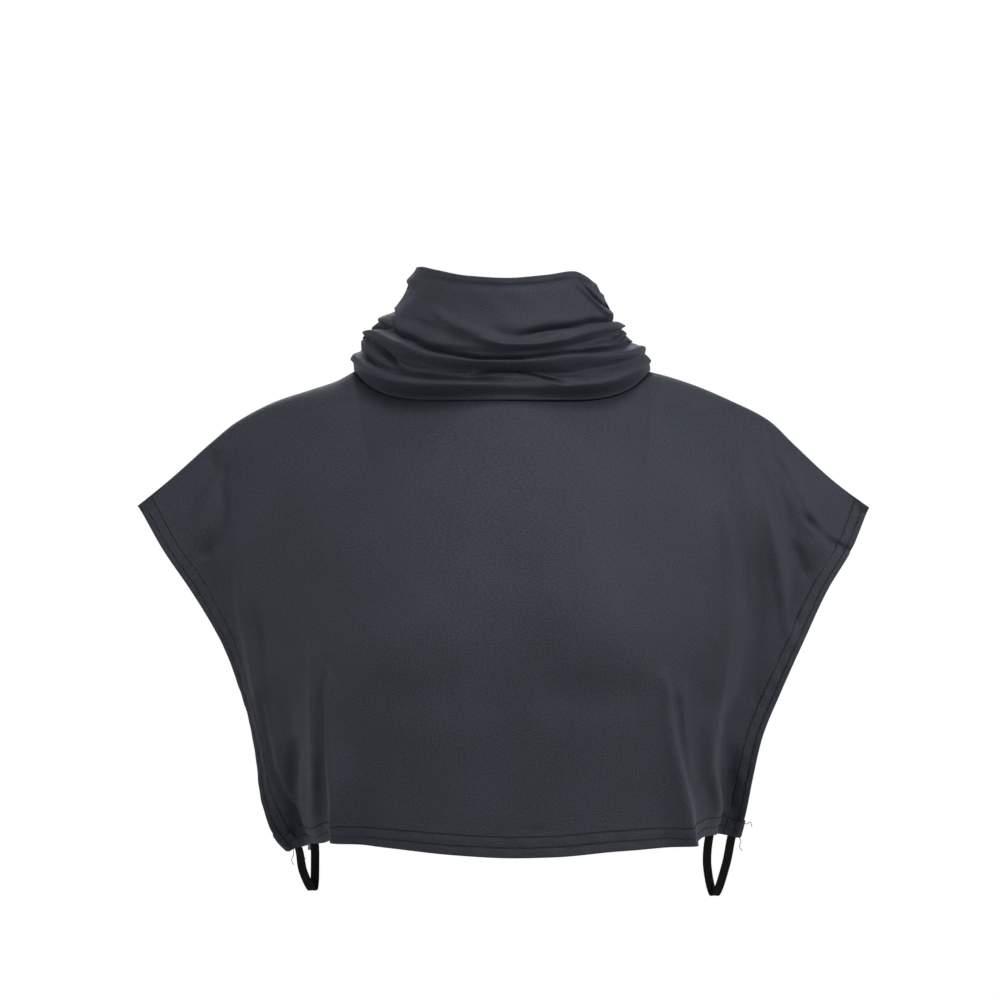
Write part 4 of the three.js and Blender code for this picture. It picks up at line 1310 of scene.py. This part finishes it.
@dataclass(frozen=True)
class StretchJersey(Finish):
    """Single jersey of fine viscose and elastane yarn, dyed slate grey.

    Fine V-shaped knit stitches stand in wales down the cloth. They are flat and even, so the cloth is smooth,
    with a soft low sheen along its folds. Twin-needle rows press a narrow furrow into it, and pucker it, and
    the furrows are painted darker as painted shade. The dyed colour runs from dark to light over dye_range of
    its noise.
    """

    name: str = "slate viscose stretch jersey"
    light: str = "30343D"
    dark: str = "21242B"
    # The painted shade colour of the stitch furrows, and how far the furrows are blended towards it
    sunk: str = "101114"
    sunk_share: float = 0.26
    dye_range: tuple[float, float] = (0.42, 0.76)
    patch_share: float = 0.18
    roughness: float = 0.62
    specular: float = 0.24
    sheen: float = 0.10
    sheen_roughness: float = 0.4
    sheen_tint: str = "B4BCE0"
    wale_mm: float = 1.1
    course_mm: float = 0.9
    mottle_mm: float = 1.15
    patch_mm: float = 45.0
    furrow_mm: float = 0.85
    pucker_mm: float = 3.2
    pucker_long_mm: float = 16.0

    def nodes(self, tree: Tree, shader: bpy.types.Node) -> None:
        """Joins the knit, the dyed colour, the stitch furrows and the painted shade in them."""
        cut = add_node(tree, "UVMap", uv_map="cut").outputs[0]
        edges = add_node(tree, "UVMap", uv_map="edges").outputs[0]
        mottle = self.noise(tree, cut, self.mottle_mm * 1.5, self.mottle_mm)
        furrow = self.furrows(tree, edges)
        normal = add_bump(tree, self.knit(tree, cut), 0.7, 0.6)
        normal = add_bump(tree, mottle, 0.45, 0.9, normal)
        normal = add_bump(tree, self.puckers(tree, cut, edges), 0.55, 1.2, normal)
        set_inputs(tree, shader, {
            "Base Color": self.dye(tree, mottle, furrow),
            "Normal": add_bump(tree, furrow, 0.9, 0.9, normal, invert=True),
            "Roughness": self.roughness,
            "Specular IOR Level": self.specular,
            "Sheen Weight": self.sheen,
            "Sheen Roughness": self.sheen_roughness,
            "Sheen Tint": from_hex(self.sheen_tint),
        })

    def noise(self, tree: Tree, place: Socket, wide_mm: float, long_mm: float) -> Socket:
        """Noise with grains of the given size in millimetres."""
        cells = add_cells(tree, place, wide_mm, long_mm)
        values = {"Vector": cells, "Scale": 1.0, "Detail": 3.0, "Roughness": 0.6}
        return add_node(tree, "TexNoise", values).outputs["Fac"]

    def knit(self, tree: Tree, place: Socket) -> Socket:
        """Knit wales and courses.

        The real wales are about 0.45 mm apart, too fine to show, so they are drawn more than twice as wide.
        """
        return add_math(tree, "MULTIPLY", *add_yarns(tree, place, self.wale_mm, self.course_mm))

    def furrows(self, tree: Tree, edges: Socket) -> Socket:
        """1 along each twin-needle row, falling to 0 beside it."""
        apart = add_node(tree, "SeparateXYZ", {0: edges})
        levels = []
        for axis, rows in (("X", CLOTH.armhole_rows), ("Y", CLOTH.hem_rows)):
            for row in rows:
                near = add_math(tree, "ABSOLUTE", add_math(tree, "SUBTRACT", apart.outputs[axis], row * MM))
                levels.append(add_fade(tree, near, 0.0, self.furrow_mm * MM, 1.0, 0.0))
        return functools.reduce(functools.partial(add_math, tree, "MAXIMUM"), levels)

    def puckers(self, tree: Tree, cut: Socket, edges: Socket) -> Socket:
        """Small puckers square to the stitch rows, fading away from the hems."""
        apart = add_node(tree, "SeparateXYZ", {0: edges})
        levels = []
        for axis, reach, sizes in (
            ("X", CLOTH.armhole_hem + 5, (self.pucker_long_mm, self.pucker_mm)),
            ("Y", CLOTH.hem + 6, (self.pucker_mm, self.pucker_long_mm)),
        ):
            inside = add_fade(tree, apart.outputs[axis], reach * MM * 0.6, reach * MM, 1.0, 0.0)
            levels.append(add_math(tree, "MULTIPLY", self.noise(tree, cut, *sizes), inside))
        return add_math(tree, "ADD", *levels)

    def dye(self, tree: Tree, mottle: Socket, furrow: Socket) -> Socket:
        """The slightly uneven dyed colour, with painted shade darkening it along the stitch furrows."""
        both = add_math(tree, "MULTIPLY_ADD", add_grain(tree, self.patch_mm), self.patch_share, mottle)
        shade = add_node(tree, "MapRange", {
            "Value": both, "From Min": self.dye_range[0], "From Max": self.dye_range[1],
        }).outputs[0]
        colour = add_blend(tree, shade, from_hex(self.dark), from_hex(self.light))
        # Painted shade: along each stitch furrow the colour is blended towards a near-black shade colour
        share = add_math(tree, "MULTIPLY", furrow, self.sunk_share)
        return add_blend(tree, share, colour, from_hex(self.sunk))


@dataclass(frozen=True)
class BraidedElastic(Finish):
    """Flat braided elastic, black polyester over rubber threads: fine slanted yarns on lengthwise ribs."""

    name: str = "black braided elastic"
    rib_mm: float = 1.26
    colour: str = "050604"
    lit: str = "1A1C16"
    yarn_mm: float = 0.9

    def nodes(self, tree: Tree, shader: bpy.types.Node) -> None:
        """Slanted yarns and ribs as bump, with their raised tops painted lighter as painted highlight and the
        rib valleys darker as painted shade.
        """
        place = add_node(tree, "TexCoord").outputs["UV"]
        rib, yarn = add_yarns(tree, place, self.rib_mm, self.yarn_mm)
        # The height of the yarns and ribs, also used as painted light: raised tops lighter, rib valleys darker
        raised_and_painted_light = add_math(tree, "MULTIPLY_ADD", yarn, 0.7, add_math(tree, "SUBTRACT", 0.5, rib))
        set_inputs(tree, shader, {
            "Base Color": add_blend(tree, raised_and_painted_light, from_hex(self.colour), from_hex(self.lit)),
            "Normal": add_bump(tree, raised_and_painted_light, 0.8, 0.5),
            "Roughness": 0.72,
            "Specular IOR Level": 0.16,
        })


@dataclass(frozen=True)
class SewingThread(Finish):
    """Spun polyester sewing thread, dark and drawn near black, its darkness partly painted shade of the needle
    furrows it lies in: short soft dashes with a faint shine along their twist.
    """

    name: str = "dark spun polyester thread"
    # Near black: the thread's own dark colour, darkened further as painted shade of the stitch furrows
    colour: str = "0D0E12"
    lit: str = "191A20"
    twist_mm: float = 0.5

    def nodes(self, tree: Tree, shader: bpy.types.Node) -> None:
        """A fine uneven twist as colour and bump."""
        twist = add_grain(tree, self.twist_mm)
        set_inputs(tree, shader, {
            "Base Color": add_blend(tree, twist, from_hex(self.colour), from_hex(self.lit)),
            "Normal": add_bump(tree, twist, 0.3, 0.2),
            "Roughness": 0.5,
            "Specular IOR Level": 0.3,
        })


@dataclass
class Stitches:
    """Twin-needle stitch rows: one short dash of thread, copied along each row and joined into one piece.

    A dash stands proud of the cloth, and its direction is taken between the places near it on either side.
    """

    name: str
    pitch: float = 2.5
    dash: float = 1.5
    wide: float = 0.85
    high: float = 0.34
    proud: float = 0.08
    near: float = 0.6

    def template(self) -> tuple[Array, Array]:
        """One dash, a low rounded bar along X, as its points and faces."""
        deselect()
        bpy.ops.mesh.primitive_uv_sphere_add(segments=6, ring_count=4, radius=0.5)
        dash = bpy.context.object
        bpy.ops.object.mode_set(mode="EDIT")
        bpy.ops.mesh.select_all(action="SELECT")
        bpy.ops.transform.rotate(value=math.pi / 2, orient_axis="Y", center_override=(0, 0, 0))
        bpy.ops.transform.resize(value=(self.dash, self.wide, self.high), center_override=(0, 0, 0))
        bpy.ops.mesh.quads_convert_to_tris()
        bpy.ops.object.mode_set(mode="OBJECT")
        points = np.array([v.co[:] for v in dash.data.vertices])
        faces = np.array([p.vertices[:] for p in dash.data.polygons])
        bpy.data.objects.remove(dash)
        return points, faces

    def build(self, lines: list[tuple[Array, Array]], finish: Finish) -> Piece:
        """Sews every row.

        Args:
            lines: for each row, its points in millimetres and the direction out of the cloth at each.
            finish: the thread's finish.

        Returns:
            The stitches' object.
        """
        points, faces = self.template()
        all_points, all_faces = [], []
        for line, outward in lines:
            walk = walked(line)
            count = int(walk[-1] / self.pitch)
            middles = (np.arange(count) + 0.5) * walk[-1] / count
            place = sampled(middles, walk, line)
            along = unit(sampled(middles + self.near, walk, line) - sampled(middles - self.near, walk, line))
            beside = unit(np.cross(unit(sampled(middles, walk, outward)), along))
            out = np.cross(along, beside)
            for k in range(count):
                turn = np.stack([along[k], beside[k], out[k]])
                all_faces.append(faces + len(all_points) * len(points))
                all_points.append(points @ turn + place[k] + self.proud * out[k])
        mesh = bpy.data.meshes.new(self.name)
        mesh.from_pydata((np.concatenate(all_points) * MM).tolist(), [], np.concatenate(all_faces).tolist())
        piece = bpy.data.objects.new(self.name, mesh)
        bpy.context.collection.objects.link(piece)
        select(piece)
        bpy.ops.object.shade_smooth()
        return declare(piece, finish)


@dataclass
class ElasticLoop:
    """A loop of flat ribbed elastic, sewn inside the front corner and inside the back one.

    The insets are how far in from the armhole's edge its two ends are sewn. A leg hangs straight past the
    hem's edge, and then sinks while it goes part of the way to the bottom. The back leg bows to the right.
    The strap turns from its sewn ends to flat over a share of its length.
    """

    name: str
    node: str
    side: Side
    panels: dict[Facing, Panel]
    bottom: tuple[float, float, float]
    sink: float
    bow: float
    back_inset: float
    width: float = 6.3
    thick: float = 1.4
    ribs: int = 5
    rib_high: float = 0.42
    sewn: float = 8.0
    front_inset: float = 3.6
    layers: float = 2.4
    clearance: float = 0.5
    past: float = 2.0
    part_x: float = 0.35
    part_y: float = 0.3
    turn_share: float = 0.35
    steps: int = 110

    def sewn_end(self, panel: Panel) -> tuple[Array, Array, Array]:
        """One sewn end: its top, its place at the hem's edge, and the direction of the strap's width."""
        inset = self.front_inset if panel.facing is Facing.FRONT else self.back_inset
        across = self.side.value * (1 - panel.band_share * inset / CLOTH.armhole_band)
        step = 0.02
        corner, above = (panel.at(np.array(across), np.array(d)) for d in (1.0, 1.0 - step))
        beside = panel.at(np.array(across - self.side.value * step), np.array(1.0))
        up = unit(above - corner)
        away = unit(np.cross(up, beside - corner))
        if away[1] * panel.facing.value > 0:
            away = -away
        wide = unit(np.cross(up, away))
        if wide[0] < 0:
            wide = -wide
        depth = self.layers + self.clearance + self.thick / 2
        return corner + up * self.sewn + away * depth, corner - up * self.past + away * depth, wide

    def path(self) -> tuple[Array, Array]:
        """The strap's middle line and the direction of its width along it."""
        start_top, start_edge, start_wide = self.sewn_end(self.panels[Facing.FRONT])
        end_top, end_edge, end_wide = self.sewn_end(self.panels[Facing.BACK])
        low = np.array(self.bottom, float)

        def down(edge: Array, bow: float) -> Array:
            """A leg's point where it has sunk below the hem, and bows to the right."""
            x, y = mix(edge[0], low[0], self.part_x) + bow, mix(edge[1], low[1], self.part_y)
            return point(x, y, edge[2] - self.sink)

        front_leg = [start_top, start_edge, down(start_edge, 0)]
        knots = np.array([*front_leg, low, down(end_edge, self.bow), end_edge, end_top])
        line = centripetal(knots, self.steps)
        share = np.linspace(0, 1, len(line))[:, None]
        wide = mix(point(1, 0, 0), start_wide, 1 - smooth(share / self.turn_share))
        wide = mix(wide, end_wide, smooth((share - 1 + self.turn_share) / self.turn_share))
        return line, wide

    def build(self, finish: Finish) -> Piece:
        """Weaves the strap with its ribs.

        Args:
            finish: the elastic's finish.

        Returns:
            The loop's object.
        """
        line, wide = self.path()
        tangent = unit(np.gradient(line, axis=0))
        out = unit(np.cross(wide, tangent))
        wide = unit(np.cross(tangent, out))
        around = self.profile()
        points = line[:, None] + around[None, :, :1] * wide[:, None] + around[None, :, 1:] * out[:, None]
        piece = add_tube(self.name, points)
        piece.data.uv_layers.new(name="weave")
        weave = np.stack(np.broadcast_arrays(around[:, 0], walked(line)[:, None]), -1)
        set_corners(piece.data, "weave", weave.reshape(-1, 2))
        round_off(piece)
        return declare(piece, finish, self.node)

    def profile(self) -> Array:
        """The strap's section: flat, with soft edges and a row of ribs on each face."""
        count = self.ribs * 8
        place = np.linspace(-0.5, 0.5, count)
        ends = np.sqrt(np.maximum(0, 1 - np.abs(place * 2) ** 8))
        rib = np.abs(np.sin(place * math.pi * self.ribs + math.pi / 2 * (self.ribs % 2 == 0)))
        half = (self.thick / 2 - self.rib_high * (1 - rib)) * ends
        top = np.stack([place * self.width, half], -1)
        low = np.stack([place * self.width, -half], -1)[::-1][1:-1]
        return np.concatenate([top, low])


@dataclass
class Trimming:
    """Short lengths of a thread or strip, swept along curves through a few points and joined in one piece.

    wide is its size across, and high its size towards the given facing.
    """

    name: str
    runs: tuple[tuple[tuple[float, float, float], ...], ...]
    wide: float
    high: float
    facing: tuple[float, float, float] = (0.1, 1.0, 0.05)
    steps: int = 14
    sides: int = 6

    def build(self, finish: Finish) -> Piece:
        """Args:
            finish: the finish of the thread or strip.

        Returns:
            The object.
        """
        ends = []
        turns = np.linspace(0, 2 * math.pi, self.sides, endpoint=False)
        for run in self.runs:
            line = centripetal(np.array(run, float), self.steps)
            tangent = unit(np.gradient(line, axis=0))
            beside = unit(np.cross(tangent, point(*self.facing)))
            out = np.cross(beside, tangent)
            ring = (
                np.cos(turns)[None, :, None] * self.wide / 2 * beside[:, None]
                + np.sin(turns)[None, :, None] * self.high / 2 * out[:, None]
            )
            ends.append(add_tube(self.name, line[:, None] + ring))
        select(*ends)
        if len(ends) > 1:
            bpy.ops.object.join()
        round_off(ends[0])
        return declare(ends[0], finish)


def centripetal(knots: Array, steps: int) -> Array:
    """Even points along a centripetal Catmull-Rom curve through the knots.

    Args:
        knots: the points that the curve goes through.
        steps: how many steps it is cut into.

    Returns:
        The points, one more than the steps.
    """
    padded = np.vstack([2 * knots[0] - knots[1], knots, 2 * knots[-1] - knots[-2]])
    fine = []
    for k in range(1, len(padded) - 2):
        p = padded[k - 1 : k + 3]
        gaps = np.maximum(np.linalg.norm(np.diff(p, axis=0), axis=1) ** 0.5, 1e-6)
        t = np.concatenate([[0], np.cumsum(gaps)])
        at = np.linspace(t[1], t[2], 60, endpoint=k == len(padded) - 3)[:, None]
        a = [mix(p[i], p[i + 1], (at - t[i]) / (t[i + 1] - t[i])) for i in range(3)]
        b = [mix(a[i], a[i + 1], (at - t[i]) / (t[i + 2] - t[i])) for i in range(2)]
        fine.append(mix(b[0], b[1], (at - t[1]) / (t[2] - t[1])))
    fine = np.concatenate(fine)
    walk = walked(fine)
    return sampled(np.linspace(0, walk[-1], steps + 1), walk, fine)


THREAD_ENDS = (
    Trimming("left_thread_ends", (
        ((-147.5, -0.5, -341.5), (-145, -2.5, -345), (-142.5, -2, -348), (-139.5, -2.5, -350)),
        ((-149, 0, -342.5), (-148.5, -1.5, -347), (-150, -1, -351), (-148.5, -1, -354.5)),
    ), 0.45, 0.45),
    Trimming("right_thread_ends", (
        ((173.5, -12.3, -322), (176.5, -13.5, -324), (179, -13, -322.5), (180.5, -13.5, -326)),
        ((170.5, -5, -332.5), (173, -6.5, -337), (172, -6, -341), (174, -6, -344)),
    ), 0.45, 0.45),
)
TAPE_END = Trimming("left_tape_end", (
    ((-137.5, 34.5, -332), (-137.8, 34, -340), (-138, 33.5, -347.5)),
), 4.8, 0.9)


class Lamp(NamedTuple):
    """A soft square light: where it stands and its side in metres, and its power in watts."""

    name: str
    place: tuple[float, float, float]
    size: float
    power: float


LAMPS = (
    Lamp("key", (1.6, -2.35, 1.9), 1.3, 49.0),
    Lamp("overhead", (0.1, -1.0, 3.2), 1.3, 50.0),
    Lamp("right side", (3.1, -1.0, 1.3), 1.2, 29.0),
    Lamp("left side", (-2.6, -2.0, 1.0), 1.3, 21.0),
    Lamp("back", (-0.3, 2.8, 2.0), 1.6, 44.0),
)


@dataclass(frozen=True)
class Studio:
    """A pale floor far below the object, a bright horizon round it, soft lights and the level camera.

    The floor begins to glow between the two distances of ring. The surround dims from white to sky between
    the two heights of band.
    """

    floor_z: float = -1.4
    floor_wide: float = 90.0
    aim: tuple[float, float, float] = (0.0, 0.0, -0.15)
    camera_away: float = 2.4
    camera_z: float = -0.092
    view_wide: float = 0.72
    sensor: float = 36.0
    sky: float = 0.18
    band: tuple[float, float] = (0.16, 0.32)
    ring: tuple[float, float] = (4.0, 6.2)
    ring_glow: float = 0.85

    def build(self) -> None:
        """Sets the stage."""
        self.add_floor()
        self.add_camera()
        self.add_world()
        for lamp in LAMPS:
            self.add_lamp(lamp)
        bpy.context.scene.view_settings.view_transform = "Standard"

    def add_floor(self) -> None:
        """A wide matt floor, lit up far away so that it meets the bright horizon."""
        deselect()
        bpy.ops.mesh.primitive_plane_add(size=self.floor_wide, location=(0, 0, self.floor_z))
        floor = bpy.context.object
        floor.name = "studio_floor"
        bpy.ops.object.transform_apply(location=True, rotation=True, scale=True)
        made = bpy.data.materials.new("matt white studio paint")
        made.use_nodes = True
        tree = made.node_tree
        place = add_node(tree, "TexCoord").outputs["Object"]
        away = add_node(tree, "VectorMath", {0: place}, operation="LENGTH").outputs["Value"]
        set_inputs(tree, tree.nodes["Principled BSDF"], {
            "Base Color": from_hex("C4C4C4"),
            "Roughness": 0.9,
            "Emission Color": from_hex("FFFFFF"),
            "Emission Strength": add_fade(tree, away, *self.ring, 0.0, self.ring_glow),
        })
        floor.data.materials.append(made)

    def add_camera(self) -> None:
        """A level camera in front of the object."""
        camera = bpy.data.cameras.new("camera")
        camera.sensor_width = self.sensor
        camera.lens = self.sensor * self.camera_away / self.view_wide
        holder = bpy.data.objects.new("camera", camera)
        holder.location = (0, -self.camera_away, self.camera_z)
        holder.rotation_euler = (math.pi / 2, 0, 0)
        bpy.context.collection.objects.link(holder)
        bpy.context.scene.camera = holder

    def add_world(self) -> None:
        """A surround that is white along the horizon and dimmer above it."""
        world = bpy.data.worlds.new("white horizon")
        world.use_nodes = True
        tree = world.node_tree
        place = add_node(tree, "TexCoord").outputs["Generated"]
        height = add_math(tree, "ABSOLUTE", add_node(tree, "SeparateXYZ", {0: place}).outputs["Z"])
        set_inputs(tree, tree.nodes["Background"], {
            "Color": (1, 1, 1, 1),
            "Strength": add_fade(tree, height, *self.band, 1.0, self.sky),
        })
        bpy.context.scene.world = world

    def add_lamp(self, lamp: Lamp) -> None:
        """Sets up a lamp, aimed at the middle of the object."""
        light = bpy.data.lights.new(lamp.name, "AREA")
        light.size = lamp.size
        light.energy = lamp.power
        holder = bpy.data.objects.new(lamp.name, light)
        holder.location = lamp.place
        holder.rotation_euler = (Vector(self.aim) - Vector(lamp.place)).to_track_quat("-Z", "Y").to_euler()
        bpy.context.collection.objects.link(holder)


def main() -> None:
    """Builds the dickey, dresses it and sets the stage."""
    logging.basicConfig(level=logging.INFO, format="%(name)s: %(message)s")
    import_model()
    jersey, elastic, thread = StretchJersey(), BraidedElastic(), SewingThread()
    tape = SewingThread("grey woven cotton tape", "74767D", "86888F", 0.8)
    front = Panel(
        "front_panel_cloth", "front_panel", Facing.FRONT, FRONT_SECTIONS, Turn(5, 36, 100, 105), FRONT_HEM,
        FRONT_FOLDS, FRONT_CREASES, band_share=4 / 44, columns=62, side_columns=66, rows=152,
        flat=(0.56, 0.42), area=0.19,
    )
    back = Panel(
        "back_panel_cloth", "back_panel", Facing.BACK, BACK_SECTIONS, Turn(16, 14, 60, 150), BACK_HEM,
        BACK_FOLDS, BACK_CREASES, band_share=4 / 34, columns=50, side_columns=40, rows=110,
        flat=(0.56, 0.40), area=0.17,
    )
    panels = {Facing.FRONT: front, Facing.BACK: back}
    halves = [
        CollarHalf(
            "collar_front_cloth", "collar_front", -90, 90, FRONT_RUCHES, panels,
            columns=180, rows=150, flat=(0.28, 0.21),
        ),
        CollarHalf(
            "collar_back_cloth", "collar_back", 90, 270, BACK_RUCHES, panels,
            columns=110, rows=90, flat=(0.28, 0.17),
        ),
    ]
    loops = [
        ElasticLoop(
            "elastic_left", "elastic_loop_left", Side.LEFT, panels,
            bottom=(-135.5, 12, -374), sink=18, bow=1.2, back_inset=2.6,
        ),
        ElasticLoop(
            "elastic_right", "elastic_loop_right", Side.RIGHT, panels,
            bottom=(155.5, 18, -378.5), sink=22, bow=-3.0, back_inset=1.2,
        ),
    ]
    made = []
    for panel in panels.values():
        cloth = panel.build(jersey)
        rows = Stitches(panel.name.replace("cloth", "stitches")).build(panel.stitch_lines(), thread)
        made += [cloth, rows]
    for half in halves:
        cloth = half.build(jersey)
        made.append(cloth)
    made += [loop.build(elastic) for loop in loops]
    made += [ends.build(thread) for ends in THREAD_ENDS]
    made.append(TAPE_END.build(tape))
    for piece in made:
        LOG.info("%s has %d faces", piece.name, len(piece.data.polygons))
    Studio().build()


if __name__ == "__main__":
    main()
